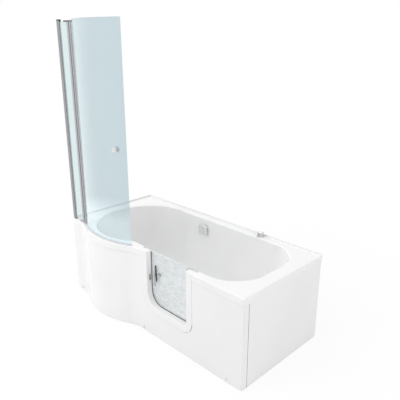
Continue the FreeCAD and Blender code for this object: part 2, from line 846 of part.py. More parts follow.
# Moulded door surround: a lining through the doorway and a raised rounded frame on the panel
def door_surround():
    face, proud = size(panel_face), size("surround_proud")
    front = face - proud
    frame = doorway_prism(size("surround_width"), front, face, rim_z)
    top = rim_z - hair
    radius = size("surround_edge_radius")
    crest = [edge for edge in frame.Edges
             if abs(edge.CenterOfMass.y - front) < hair and edge.CenterOfMass.z < top]
    frame = frame.makeFillet(radius, crest)
    skirt_low = rim_z - size("rim_skirt") - size("fit_gap")
    behind = Part.makeBox(right_x - left_x, face - front_y + 2 * size("fit_gap"), rim_z,
                          vector(left_x, front_y - size("fit_gap"), skirt_low))
    lining = doorway_prism(size("lining_wall"), front, size(seal_face) - wall, rim_z)
    inner_edge = size("surround_mouth_radius")
    opening = doorway_prism(0, front - wall, back_y, rim_z + wall)
    gap, half = size("tongue_gap"), size("tongue_width / 2")
    sweep = math.sqrt(size(tongue_reach) ** 2 + half ** 2 - size("latch_from_jamb") ** 2)
    slot = Part.makeBox(2 * size("lining_wall"), size("tongue_thickness") + 2 * gap, sweep + half + 2 * gap,
                        vector(size("%s - 1.5 * lining_wall" % door_left), size(tongue_front) - gap,
                               size(latch_z) - sweep - gap))
    piece = frame.cut(behind).fuse(lining).cut([opening, slot]).removeSplitter()
    mouth = [edge for edge in piece.Edges if abs(edge.CenterOfMass.y - front) < hair
             and edge.CenterOfMass.z < top and abs(edge.BoundBox.YLength) < hair
             and size(door_left) - 1 < edge.CenterOfMass.x < size(door_right) + 1
             and edge.CenterOfMass.z > size("door_sill") - 1]
    return piece.makeFillet(inner_edge, mouth)


feature("door_surround", door_surround())


def door_seal():
    low, high = size(seal_face), size("%s + seal_thickness" % seal_face)
    top = size("%s - fit_gap" % leaf_top)
    band = doorway_prism(size("seal_width - seal_reveal"), low, high, top)
    return band.cut(doorway_prism(-size("seal_reveal"), low - wall, high + wall, top + wall))


feature("door_seal", door_seal())

# Door leaf with rounded lower corners and a hole for the latch bush
leaf = padded("DoorLeaf", "XZ_Plane", [(leaf_left, leaf_bottom), (leaf_right, leaf_bottom),
                                       (leaf_right, leaf_top), (leaf_left, leaf_top)],
              "leaf_thickness", ("0", leaf_middle, "0"))
middle_x = size("(%s + %s) / 2" % (leaf_left, leaf_right))
low_edge = size(leaf_bottom)
rounded(leaf, "latch_corner_radius",
        lambda edge: edge.BoundBox.XLength < hair and edge.BoundBox.ZLength < hair
        and edge.CenterOfMass.x < middle_x and edge.CenterOfMass.z < low_edge + 1)
rounded(leaf, "hinge_corner_radius",
        lambda edge: edge.BoundBox.XLength < hair and edge.BoundBox.ZLength < hair
        and edge.CenterOfMass.x > middle_x and edge.CenterOfMass.z < low_edge + 1)
bush_hole = rod("BushHole", "y", (latch_x, latch_z), "bush_radius + fit_gap",
                "%s - fit_gap" % leaf_front, "%s + fit_gap" % leaf_back)
node(less("DoorGlass", leaf, [bush_hole]), "door_glass")

# Top clip: a cap over the hinge corner of the glass that ends round on the hinge axis
clip_y = ("%s - clip_top_width / 2" % leaf_middle, "%s + clip_top_width / 2" % leaf_middle)
clip_z = ("%s + clip_top_cover - clip_top_height" % leaf_top, "%s + clip_top_cover" % leaf_top)
clip_body = block("TopClipBody", ("%s - clip_top_length" % hinge_x, hinge_x), clip_y, clip_z)
clip_end = rod("TopClipEnd", "z", (hinge_x, leaf_middle), "clip_top_width / 2", *clip_z)
clip_slot = block("TopClipSlot", ("%s - 2 * clip_top_length" % hinge_x, "%s + fit_gap" % leaf_right),
                  ("%s - running_gap" % leaf_front, "%s + running_gap" % leaf_back),
                  ("%s - clip_top_height" % leaf_top, leaf_top))
seal_room = block("TopClipSealRoom", ("%s - 2 * clip_top_length" % hinge_x, "%s + seal_width" % door_right),
                  ("%s - clip_top_width" % leaf_front, "%s - fit_gap / 2" % leaf_front),
                  ("door_sill", "rim_height"))
node(less("TopClip", fused("TopClipBlank", [clip_body, clip_end]), [clip_slot, seal_room]), "door_top_clip")

# Hinges: fixed brackets on the pocket wall, clamps on the glass and a pin through each
hinge_places = [(0, 0, size("door_sill + hinge_low_rise")), (0, 0, size("rim_height - hinge_high_drop"))]
half_bracket = "bracket_height / 2"
half_knuckle = "knuckle_height / 2"
pin_hole = "hinge_pin_radius + running_gap"
hinge_axis = (hinge_x, leaf_middle)
bracket_parts = [block("BracketPlate", ("%s - knuckle_radius" % hinge_x, "%s + knuckle_radius" % hinge_x),
                       (seal_face, "%s + bracket_plate" % seal_face), ("-%s" % half_bracket, half_bracket))]
for side, (low, high) in (("Low", ("-%s" % half_bracket, "-(%s + fit_gap)" % half_knuckle)),
                          ("High", ("%s + fit_gap" % half_knuckle, half_bracket))):
    bracket_parts.append(rod("BracketKnuckle" + side, "z", hinge_axis, "knuckle_radius", low, high))
    bracket_parts.append(block("BracketWeb" + side,
                               ("%s - knuckle_radius / 2" % hinge_x, "%s + knuckle_radius" % hinge_x),
                               (seal_face, leaf_middle), (low, high)))
bracket_bore = rod("BracketBore", "z", hinge_axis, pin_hole, "-bracket_height", "bracket_height")
copies("hinge_brackets", less("HingeBracket", fused("BracketBlank", bracket_parts), [bracket_bore]),
       hinge_places)

clamp_low = "%s - clamp_plate" % leaf_front
clamp_high = "%s + clamp_plate" % leaf_back
clamp_span = ("-%s" % half_knuckle, half_knuckle)
clamp_blank = fused("ClampBlank", [
    block("ClampBody", ("%s - clamp_reach" % hinge_x, hinge_x), (clamp_low, clamp_high), clamp_span),
    rod("ClampKnuckle", "z", hinge_axis, "knuckle_radius", *clamp_span)])
clamp_slot = block("ClampSlot", ("%s - 2 * clamp_reach" % hinge_x, "%s + fit_gap" % leaf_right),
                   ("%s - running_gap" % leaf_front, "%s + running_gap" % leaf_back),
                   ("-knuckle_height", "knuckle_height"))
clamp_bore = rod("ClampBore", "z", hinge_axis, pin_hole, "-bracket_height", "bracket_height")
copies("hinge_clamps", less("HingeClamp", clamp_blank, [clamp_slot, clamp_bore]), hinge_places)

pin_head = "%s + hinge_pin_radius" % half_bracket
hinge_pin = turned("HingePin", [("0", "-%s" % half_bracket), ("hinge_pin_radius", "-%s" % half_bracket),
                                ("hinge_pin_radius", half_bracket), ("hinge_pin_head", half_bracket),
                                ("hinge_pin_head", pin_head), ("0", pin_head)], (hinge_x, leaf_middle, "0"))
copies("hinge_pins", hinge_pin, hinge_places)

# Latch: bush and ring on the glass, with spindle, lever, tongue and inside knob that turn together
latch_place = (latch_x, leaf_front, latch_z)
bore = "spindle_radius + running_gap"
sleeve_end = "leaf_thickness + rose_thickness"
bush = turned("LatchBush", [(bore, "-rose_thickness"), ("crown_share * rose_radius", "-rose_thickness"),
                            ("rose_radius", "-edge_share * rose_thickness"), ("rose_radius", "0"),
                            ("bush_radius", "0"),
                            ("bush_radius", sleeve_end), (bore, sleeve_end)], latch_place, "y")
node(bush, "latch_bush")
ring = turned("LatchRing",
              [("bush_radius + running_gap", "leaf_thickness"), ("rose_radius", "leaf_thickness"),
                            ("rose_radius", "leaf_thickness + (1 - edge_share) * rose_thickness"),
                            ("crown_share * rose_radius", sleeve_end),
                            ("bush_radius + running_gap", sleeve_end)],
              latch_place, "y")
node(ring, "latch_ring")
latch_axis = (latch_x, latch_z)
spindle_in = "%s + rose_thickness + latch_knob_depth / 2" % leaf_back
node(rod("LatchSpindle", "y", latch_axis, "spindle_radius", tongue_front, spindle_in), "latch_spindle")

tongue_hub = rod("TongueHub", "y", latch_axis, "bush_radius", tongue_front, "%s - fit_gap" % lever_front)
tongue_blade = block("TongueBlade", ("%s - tongue_width / 2" % latch_x, "%s + tongue_width / 2" % latch_x),
                     (tongue_front, tongue_back), ("%s - %s" % (latch_z, tongue_reach), latch_z))
tongue_bore = rod("TongueBore", "y", latch_axis, bore, "%s - rose_thickness" % tongue_front, leaf_front)
node(less("LatchTongue", fused("TongueBlank", [tongue_hub, tongue_blade]), [tongue_bore]), "latch_tongue")


# A flat bar between two round ends of different radius
def tapered_bar(start, start_radius, end, end_radius):
    way = end - start
    length = way.Length
    along = vector(way.x / length, 0, way.z / length)
    across = vector(-along.z, 0, along.x)
    lean = math.asin((start_radius - end_radius) / length)
    side = [across * math.cos(lean) + along * math.sin(lean),
            across * -math.cos(lean) + along * math.sin(lean)]
    a, b = start + side[0] * start_radius, start + side[1] * start_radius
    c, d = end + side[0] * end_radius, end + side[1] * end_radius
    return [line(a, c), arc(c, end + along * end_radius, d), line(d, b),
            arc(b, start - along * start_radius, a)]


def latch_lever():
    centre = vector(size(latch_x), 0, size(latch_z))
    hub, tip, thick = size("lever_hub_radius"), size("lever_tip_radius"), size("lever_thickness")
    out = vector(0, thick, 0)
    upper = prism(tapered_bar(centre, 0.9 * hub, centre + vector(0, 0, size("lever_up") - tip), tip), out)
    elbow = centre + vector(0.35 * hub, 0, -0.55 * size("lever_down"))
    grip_end = centre + vector(-0.5 * hub, 0, tip - size("lever_down"))
    lower = prism(tapered_bar(centre, 0.9 * hub, elbow, 1.05 * tip), out)
    tail = prism(tapered_bar(elbow, 1.05 * tip, grip_end, 0.9 * tip), out)
    boss = cylinder(centre, hub, thick, vector(0, 1, 0))
    lever = boss.fuse([upper, lower, tail]).removeSplitter()
    lever = lever.cut(cylinder(centre - out, size(bore), 3 * thick, vector(0, 1, 0)))
    rims = [edge for edge in lever.Edges if abs(edge.BoundBox.YLength) < hair
            and not (edge.Curve.TypeId == "Part::GeomCircle" and edge.Curve.Radius < hub / 2)]
    lever = lever.makeFillet(thick / 5, rims)
    lever.translate(vector(0, size(lever_front), 0))
    return lever


feature("latch_lever", latch_lever())
knob_start = "leaf_thickness + rose_thickness + fit_gap"
knob_end = "%s + latch_knob_depth" % knob_start
spindle_seat = "leaf_thickness + rose_thickness + latch_knob_depth / 2 + fit_gap"
inside_knob = turned("LatchKnob", [(bore, knob_start), ("knob_neck_share * latch_knob_radius", knob_start),
                                   ("latch_knob_radius",
                                    "%s + knob_swell_share * latch_knob_depth" % knob_start),
                                   ("latch_knob_radius",
                                    "%s - knob_edge_share * latch_knob_depth" % knob_end),
                                   ("crown_share * latch_knob_radius", knob_end), ("0", knob_end),
                                   ("0", spindle_seat),
                                   (bore, spindle_seat)], latch_place, "y")
node(inside_knob, "latch_knob")

# Base board, leg rails and levelling feet
board_length = "(bath_length - board_from_end - board_from_foot)"
board_x = "%s + board_from_end + %s / 2" % (shower_end, board_length)
board_half = "%s / 2" % board_length
board = padded("BaseBoard", "XY_Plane",
               [("-%s" % board_half, "-board_width / 2"), (board_half, "-board_width / 2"),
                                         (board_half, "board_width / 2"),
                                         ("-%s" % board_half, "board_width / 2")],
               "board_thickness", (board_x, waste_y, "%s + board_thickness / 2" % board_under))
rounded(board, "board_corner_radius", is_upright)
board_holes = [rod("BoardWasteHole", "z", (waste_x, waste_y), "trap_flange_radius + board_hole_gap",
                   "%s - board_thickness" % board_under, "floor_height")]
for index, spot in enumerate(jet_spots):
    board_holes.append(rod("BoardJetHole%d" % index, "z", spot, "jet_stem_radius + board_hole_gap",
                           "%s - board_thickness" % board_under, "floor_height"))
node(less("BaseBoardDrilled", board, board_holes), "base_board")

rail_half, rail_in = "leg_rail_width / 2", "leg_rail_width / 2 - leg_rail_wall"
leg_rail = padded("LegRail", "XZ_Plane",
                  [("-(%s)" % rail_half, "-leg_rail_height"), ("-(%s)" % rail_in, "-leg_rail_height"),
                                          ("-(%s)" % rail_in, "-leg_rail_wall"), (rail_in, "-leg_rail_wall"),
                                          (rail_in, "-leg_rail_height"), (rail_half, "-leg_rail_height"),
                                          (rail_half, "0"), ("-(%s)" % rail_half, "0")],
                  "leg_rail_length", ("0", waste_y, board_under))
stud_holes = [rod("StudHole%s" % side, "z", ("0", "%s %s leg_spread / 2" % (waste_y, side)),
                  "stud_radius + fit_gap",
                  "%s - 2 * leg_rail_height" % board_under,
                  "%s + leg_rail_height" % board_under) for side in "+-"]
pitch = size(jet_pitch)
rail_spots = [size(air_start_x) + pitch * step for step in (0.5, 3.5, size("jet_columns") - 0.7)]
copies("leg_rails", less("LegRailDrilled", leg_rail, stud_holes), [(x, 0, 0) for x in rail_spots])
leg_spots = [(x, size(waste_y) + side * size("leg_spread") / 2, 0) for x in rail_spots for side in (-1, 1)]
stud_top = "%s + stud_above_rail" % board_under
pad_seat = "leg_pad_height / 2"
stud = turned("LegStud",
              [("0", pad_seat), ("stud_radius", pad_seat), ("stud_radius", stud_top), ("0", stud_top)],
              ("0", "0", "0"))
copies("leg_studs", stud, leg_spots)
pad_bore = "stud_radius + running_gap"
leg_pad = turned("LegPad",
                 [("0", "0"), ("leg_pad_radius", "0"), ("leg_pad_radius", "pad_edge_share * leg_pad_height"),
                            ("2 * stud_radius", "pad_neck_share * leg_pad_height"),
                            ("2 * stud_radius", "leg_pad_height"),
                            (pad_bore, "leg_pad_height"), (pad_bore, pad_seat), ("0", pad_seat)],
                            ("0", "0", "0"))
copies("leg_pads", leg_pad, leg_spots)


def leg_nuts():
    across, height = size("leg_nut_across"), size("leg_nut_height")
    reach = across / math.sqrt(3)
    corners = [vector(reach * math.cos(math.radians(60 * k)),
                      reach * math.sin(math.radians(60 * k))) for k in range(6)]
    nut = prism([line(corners[k], corners[(k + 1) % 6]) for k in range(6)], vector(0, 0, height))
    nut = nut.cut(cylinder(vector(0, 0, -height), size(pad_bore), 3 * height, vector(0, 0, 1)))
    web = size(board_under)
    shapes = []
    for x, y, z in leg_spots:
        for base in (web, web - size("leg_rail_wall") - height):
            shape = nut.copy()
            shape.translate(vector(x, y, base))
            shapes.append(shape)
    return Part.makeCompound(shapes)


feature("leg_nuts", leg_nuts())

# Waste: chrome flange in the floor, rising plug, trap body below
waste_place = (waste_x, waste_y, "0")
flange_top = "floor_height + waste_flange_height"
sleeve = "throat_radius + throat_wall"
sleeve_low = "floor_height - throat_depth"
waste_flange = turned("WasteFlange",
                      [("throat_radius", sleeve_low), (sleeve, sleeve_low), (sleeve, "floor_height"),
                                      ("waste_flange_radius", "floor_height"),
                                      ("waste_flange_radius",
                                       "floor_height + edge_share * waste_flange_height"),
                                      ("flange_crown_share * waste_flange_radius", flange_top),
                                      ("throat_radius", flange_top)], waste_place)
node(waste_flange, "waste_flange")
plug_low = "%s + fit_gap" % flange_top
plug_top = "%s + plug_height" % plug_low
stem_low = "%s - plug_stem_length" % plug_low
waste_plug = turned("WastePlug",
                    [("0", stem_low), ("plug_stem_radius", stem_low), ("plug_stem_radius", plug_low),
                                  ("plug_radius", plug_low),
                                  ("plug_radius", "%s + plug_edge_share * plug_height" % plug_low),
                                  ("plug_crown_share * plug_radius",
                                   "%s + plug_shoulder_share * plug_height" % plug_low), ("0", plug_top)],
                                   waste_place)
node(waste_plug, "waste_plug")
seal_low = "%s - plug_seal_height" % plug_low
plug_seal = turned("PlugSeal",
                   [("plug_stem_radius + running_gap", seal_low), ("crown_share * throat_radius", seal_low),
                                ("throat_radius - fit_gap", "%s + plug_seal_height / 2" % seal_low),
                                ("throat_radius - fit_gap", plug_low),
                                ("plug_stem_radius + running_gap", plug_low)],
                   waste_place)
node(plug_seal, "plug_seal")

trap_in = "(trap_radius - trap_wall)"
trap_neck = "%s + fit_gap" % sleeve
trap = turned("TrapCup", [("0", "trap_floor"), ("trap_radius", "trap_floor"),
                          ("trap_radius", "%s - trap_wall" % floor_under),
                          ("trap_flange_radius", "%s - trap_wall" % floor_under),
                          ("trap_flange_radius", floor_under), (trap_neck, floor_under),
                          (trap_neck, "%s - fit_gap" % sleeve_low), (trap_in, "%s - fit_gap" % sleeve_low),
                          (trap_in, "trap_floor + trap_wall"), ("0", "trap_floor + trap_wall")], waste_place)
guide_low = "%s + plug_seal_height" % stem_low
guide = block("StemGuide",
              ("%s - trap_radius + trap_wall / 2" % waste_x, "%s + trap_radius - trap_wall / 2" % waste_x),
              ("%s - 2 * plug_stem_radius" % waste_y, "%s + 2 * plug_stem_radius" % waste_y),
              (guide_low, "%s + trap_wall" % guide_low))
outlet_axis = (waste_y, "outlet_height")
outlet_end = "%s - trap_radius - outlet_length" % waste_x
outlet = rod("Outlet", "x", outlet_axis, "outlet_radius", outlet_end, "%s - %s" % (waste_x, trap_in))
collar = rod("OutletCollar", "x", outlet_axis, "outlet_radius + outlet_wall",
             "%s - trap_radius - outlet_collar" % waste_x, "%s - %s" % (waste_x, trap_in))
outlet_bore = rod("OutletBore", "x", outlet_axis, "outlet_radius - outlet_wall",
                  "%s - fit_gap" % outlet_end, waste_x)
inlet_axis = (waste_x, "outlet_height")
inlet_end = "%s + trap_radius + overflow_pipe_radius" % waste_y
inlet = rod("Inlet", "y", inlet_axis, "overflow_pipe_radius", "%s + %s" % (waste_y, trap_in), inlet_end)
inlet_bore = rod("InletBore", "y", inlet_axis, "overflow_pipe_radius - overflow_pipe_wall", waste_y,
                 "%s + fit_gap" % inlet_end)
stem_bore = rod("StemBore", "z", (waste_x, waste_y), "plug_stem_radius + running_gap", stem_low,
                "floor_height")
node(less("WasteBody", fused("WasteBlank", [trap, guide, outlet, collar, inlet]),
          [outlet_bore, inlet_bore, stem_bore]), "waste_body")

# Overflow: ring inside, gasket and chamber outside, square knob on a shaft through both
overflow_axis = (waste_x, overflow_z)
overflow_place = (waste_x, wall_inside, overflow_z)
sleeve_front = "-overflow_ring_thickness"
overflow_ring = turned("OverflowRing", [("overflow_hole_radius + fit_gap", "-overflow_ring_thickness"),
                                        ("flange_crown_share * overflow_ring_radius",
                                         "-overflow_ring_thickness"),
                                        ("overflow_ring_radius", "-edge_share * overflow_ring_thickness"),
                                        ("overflow_ring_radius", "0"),
                                        ("overflow_hole_radius + fit_gap", "0")],
                       overflow_place, "y")
node(overflow_ring, "overflow_ring")
gasket = turned("OverflowGasket",
                [("overflow_hole_radius + fit_gap", "shell_wall"), ("overflow_ring_radius", "shell_wall"),
                                   ("overflow_ring_radius", "shell_wall + overflow_gasket_thickness"),
                                   ("overflow_hole_radius + fit_gap",
                                    "shell_wall + overflow_gasket_thickness")],
                overflow_place, "y")
node(gasket, "overflow_gasket")
chamber_front = "shell_wall + overflow_gasket_thickness"
chamber_back = "%s + 4 * overflow_wall + 2 * overflow_pipe_radius" % chamber_front
chamber_in = "overflow_chamber_radius - overflow_wall"
sleeve_in = "overflow_hole_radius - overflow_wall"
chamber = turned("OverflowChamber",
                 [("overflow_hole_radius", sleeve_front), ("overflow_hole_radius", chamber_front),
                                     ("overflow_ring_radius", chamber_front),
                                     ("overflow_ring_radius", "%s + overflow_wall" % chamber_front),
                                     ("overflow_chamber_radius", "%s + overflow_wall" % chamber_front),
                                     ("overflow_chamber_radius", chamber_back), ("0", chamber_back),
                                     ("0", "%s - overflow_wall" % chamber_back),
                                     (chamber_in, "%s - overflow_wall" % chamber_back),
                                     (chamber_in, "%s + overflow_wall" % chamber_front),
                                     (sleeve_in, "%s + overflow_wall" % chamber_front),
                                     (sleeve_in, sleeve_front)],
                 overflow_place, "y")
chamber_end = "%s + %s" % (wall_inside, chamber_back)
shaft_boss = rod("ShaftBoss", "y", overflow_axis, "2 * knob_shaft_radius", overflow_drop_y,
                 "%s - overflow_wall / 2" % chamber_end)
chamber_low = "(%s - overflow_chamber_radius)" % overflow_z
spigot_low = "(%s - overflow_pipe_radius)" % chamber_low
spigot = rod("Spigot", "z", (waste_x, overflow_drop_y), "overflow_pipe_radius", spigot_low,
             "%s + 2 * overflow_wall" % chamber_low)
spigot_bore = rod("SpigotBore", "z", (waste_x, overflow_drop_y), "overflow_pipe_radius - overflow_pipe_wall",
                  "%s - fit_gap" % spigot_low, "%s - 2.2 * knob_shaft_radius" % overflow_z)
shaft_bore = rod("ShaftBore", "y", overflow_axis, "knob_shaft_radius + running_gap", wall_inside,
                 "%s - overflow_wall / 2" % chamber_end)
node(less("OverflowBody", fused("OverflowBlank", [chamber, shaft_boss, spigot]),
          [spigot_bore, shaft_bore]), "overflow_body")


# A pipe of one radius and wall along runs joined by equal bends
def bent_pipe(points, bend, radius, thickness):
    edges = []
    start = points[0]
    for before, corner, after in zip(points, points[1:], points[2:]):
        into = (corner - before).normalize()
        out = (after - corner).normalize()
        first = corner - into * bend
        last = corner + out * bend
        middle = corner + (out - into) * (bend * (1 - math.sqrt(0.5)))
        edges += [line(start, first), arc(first, middle, last)]
        start = last
    edges.append(line(start, points[-1]))
    path = Part.Wire(edges)
    way = (points[1] - points[0]).normalize()
    walls = []
    for ring_radius in [radius, radius - thickness][:2 if thickness else 1]:
        ring_edge = Part.Wire(Part.makeCircle(ring_radius, points[0], way))
        walls.append(path.makePipeShell([ring_edge], True, True))
    return walls[0].cut(walls[1]) if thickness else walls[0]


pipe_points = [vector(size(waste_x), size(overflow_drop_y), size(spigot_low)),
               vector(size(waste_x), size(overflow_drop_y), size("outlet_height")),
               vector(size(waste_x), size(inlet_end), size("outlet_height"))]
feature("overflow_pipe", bent_pipe(pipe_points, size("overflow_bend_radius"), size("overflow_pipe_radius"),
                                   size("overflow_pipe_wall")))

knob_back = "(%s - overflow_ring_thickness - knob_standoff)" % wall_inside
half_side = "knob_side / 2"
knob = padded("OverflowKnob", "XZ_Plane",
              [("-%s" % half_side, "-%s" % half_side), (half_side, "-%s" % half_side),
                                           (half_side, half_side), ("-%s" % half_side, half_side)],
              "knob_thickness", (waste_x, "%s - knob_thickness / 2" % knob_back, overflow_z))
rounded(knob, "knob_corner_radius",
        lambda edge: edge.BoundBox.XLength < hair and edge.BoundBox.ZLength < hair)
face_y = -size("knob_thickness") / 2
rounded(knob, "knob_edge_radius", lambda edge: edge.CenterOfMass.y < face_y + hair)
knob_shaft = rod("KnobShaft", "y", overflow_axis, "knob_shaft_radius", "%s - overflow_wall" % knob_back,
                 "%s - overflow_wall" % chamber_end)
node(fused("OverflowKnobShaft", [knob, knob_shaft]), "overflow_knob")

# Air spa: floor jets, a hairpin manifold below the board, an anti-flood riser and the blower
jet = turned("AirJet",
             [("0", "-jet_stem_length"), ("jet_stem_radius", "-jet_stem_length"), ("jet_stem_radius", "0"),
                        ("jet_radius", "0"), ("jet_radius", "jet_edge_share * jet_dome"),
                        ("jet_crown_share * jet_radius", "jet_shoulder_share * jet_dome"),
                        ("0", "jet_dome")], ("0", "0", "floor_height"))
copies("air_jets", jet, [(x, y, 0) for x, y in jet_places])


def air_manifold():
    height, radius, thick = size(air_pipe_z), size("air_pipe_radius"), size("air_pipe_wall")
    end_x, start_x = size(air_end_x), size(air_start_x) - size("air_pipe_overrun")
    back_row, front_row, middle_row = size(air_row_back), size(air_row_front), size(waste_y)
    points = [vector(start_x, back_row, height), vector(end_x, back_row, height),
              vector(end_x, front_row, height),
              vector(start_x, front_row, height)]
    pipe = bent_pipe(points, size("air_bend_radius"), radius, thick)
    along, up = vector(1, 0, 0), vector(0, 0, 1)
    stoppers = [cylinder(vector(start_x, row, height), radius - thick / 2, thick,
                         along) for row in (back_row, front_row)]
    stub = cylinder(vector(end_x, middle_row, height), size("socket_radius"),
                    size("socket_height") + radius, along)
    feed = cylinder(vector(end_x, middle_row, height), radius - thick, size("socket_height") + 2 * radius,
                    along)
    seat = cylinder(vector(size(stub_seat), middle_row, height), size("air_pipe_radius + running_gap"),
                    size("socket_height") + radius, along)
    stem_low = size("floor_height - jet_stem_length - fit_gap")
    boss_low, boss_top = height + radius - 2 * thick, size("floor_height - boss_top_drop")
    bosses, bores = [], []
    for x, y in jet_places:
        bosses.append(cylinder(vector(x, y, boss_low), size("boss_radius"), boss_top - boss_low, up))
        bores.append(cylinder(vector(x, y, stem_low), size("jet_stem_radius + fit_gap"), boss_top, up))
    hollow = bent_pipe(points, size("air_bend_radius"), radius - thick, 0)
    return pipe.fuse(bosses + stoppers + [stub.cut(hollow)]).cut(bores + [feed, seat]).removeSplitter()


feature("air_manifold", air_manifold())
socket_low = "(blower_foot_height + blower_height)"
socket_top = "(%s + socket_height)" % socket_low
riser_low = "(%s - socket_height / 4)" % socket_top
riser_points = [vector(size(riser_x), size(blower_y), size(riser_low)),
                vector(size(riser_x), size(blower_y), size(riser_top)),
                vector(size(riser_x), size(waste_y), size(riser_top)),
                vector(size(riser_x), size(waste_y), size(air_pipe_z)),
                vector(size(stub_seat) + size("fit_gap"), size(waste_y), size(air_pipe_z))]
feature("air_riser",
        bent_pipe(riser_points, size("air_bend_radius"), size("air_pipe_radius"), size("air_pipe_wall")))

blower_place = (blower_x, blower_y, "blower_foot_height")
volute = turned("Volute",
                [("0", "0"), ("flange_crown_share * blower_radius", "0"),
                 ("blower_radius", "volute_edge_share * blower_height"),
                           ("blower_radius", "(1 - volute_edge_share) * blower_height"),
                           ("volute_crown_share * blower_radius", "blower_height"),
                           ("0", "blower_height")], blower_place)
socket = rod("Socket", "z", (riser_x, blower_y), "socket_radius", "%s - blower_height / 2" % socket_low,
             socket_top)
socket_bore = rod("SocketBore", "z", (riser_x, blower_y), "air_pipe_radius + running_gap", riser_low,
                  "%s + fit_gap" % socket_top)
node(less("BlowerHousing", fused("BlowerBlank", [volute, socket]), [socket_bore]), "blower_housing")
motor = turned("MotorCan",
               [("0", "0"), ("motor_radius", "0"), ("motor_radius", "motor_wall_share * motor_height"),
                            ("motor_shoulder_share * motor_radius",
                             "motor_shoulder_height_share * motor_height"),
                             ("motor_crown_share * motor_radius", "motor_height"),
                            ("0", "motor_height")], (blower_x, blower_y, socket_low))
gland_axis = (blower_x, "%s + motor_height / 3" % socket_low)
gland_face = "%s + motor_radius" % blower_y
gland = rod("Gland", "y", gland_axis, "gland_radius", blower_y, "%s + gland_length" % gland_face)
gland_hole = rod("GlandHole", "y", gland_axis, "gland_bore", gland_face, "%s + 2 * gland_length" % gland_face)
node(less("BlowerMotor", fused("MotorBlank", [motor, gland]), [gland_hole]), "blower_motor")
blower_foot = turned("BlowerFoot",
                     [("0", "0"), ("blower_foot_radius", "0"),
                      ("crown_share * blower_foot_radius", "blower_foot_height"),
                                    ("0", "blower_foot_height")], (blower_x, blower_y, "0"))
foot_reach = size("blower_foot_share * blower_radius")
copies("blower_feet", blower_foot,
       [(foot_reach * math.cos(math.radians(angle)), foot_reach * math.sin(math.radians(angle)), 0)
                                    for angle in (60, 180, 300)])

# Rim control: flange and tail in the rim, nut below, air dial on top with a push button in it
control_place = (control_x, control_y, "rim_height")
tail_low = "-control_tail_length"
shaft_hole = "dial_shaft_radius + running_gap"
shaft_floor = "control_flange_height - dial_shaft_length - fit_gap"
control_base = turned("ControlBase",
                      [("0", tail_low), ("control_tail_radius", tail_low), ("control_tail_radius", "0"),
                                      ("control_flange_radius", "0"),
                                      ("control_flange_radius", "edge_share * control_flange_height"),
                                      ("flange_crown_share * control_flange_radius", "control_flange_height"),
                                      (shaft_hole, "control_flange_height"), (shaft_hole, shaft_floor),
                                      ("0", shaft_floor)],
                      control_place)
node(control_base, "control_base")
nut_top = "-shell_wall"
nut_low = "-shell_wall - 2 * control_flange_height"
control_nut = turned("ControlNut",
                     [("control_tail_radius + running_gap", nut_low),
                      ("control_nut_share * control_flange_radius", nut_low),
                                    ("control_nut_share * control_flange_radius", nut_top),
                                    ("control_tail_radius + running_gap", nut_top)],
                     control_place)
node(control_nut, "control_nut")
dial_low = "control_flange_height + fit_gap"
dial_top = "%s + dial_height" % dial_low
button_hole = "button_radius + running_gap"
button_low = "%s + button_proud - button_height" % dial_top
button_floor = "%s - button_stroke - fit_gap" % button_low
dial = turned("ControlDial",
              [("0", "control_flange_height - dial_shaft_length"),
               ("dial_shaft_radius", "control_flange_height - dial_shaft_length"),
                              ("dial_shaft_radius", dial_low), ("dial_radius", dial_low),
                              ("dial_radius", "%s - dial_chamfer" % dial_top),
                              ("dial_radius - dial_chamfer", dial_top), (button_hole, dial_top),
                              (button_hole, button_floor), ("0", button_floor)],
              control_place)
node(dial, "control_dial")
button_top = "%s + button_height" % button_low
button = turned("ControlButton",
                [("0", button_low), ("button_radius", button_low),
                 ("button_radius", "%s - dial_chamfer" % button_top),
                                  ("crown_share * button_radius", "%s - button_dome" % button_top),
                                  ("0", button_top)], control_place)
node(button, "control_button")

# Screen: wall profile, fixed glass, hinge channel and the swinging curved glass
profile_half = "profile_depth / 2"
profile_in = "profile_depth / 2 - profile_wall"
slot_half = "screen_thickness / 2 + glass_slot_gap"


def channel(name, width, flip, base, low, high):
    corners = [("0", "-(%s)" % profile_half), (width, "-(%s)" % profile_half), (width, "-(%s)" % slot_half),
               ("%s - profile_wall" % width, "-(%s)" % slot_half),
               ("%s - profile_wall" % width, "-(%s)" % profile_in),
               ("profile_wall", "-(%s)" % profile_in), ("profile_wall", profile_in),
               ("%s - profile_wall" % width, profile_in),
               ("%s - profile_wall" % width, slot_half), (width, slot_half), (width, profile_half),
               ("0", profile_half)]
    if flip:
        corners = [("-(%s)" % x, y) for x, y in reversed(corners)]
    return padded(name, "XY_Plane", corners, "%s - (%s)" % (high, low),
                  (base, screen_y, "(%s + %s) / 2" % (low, high)))


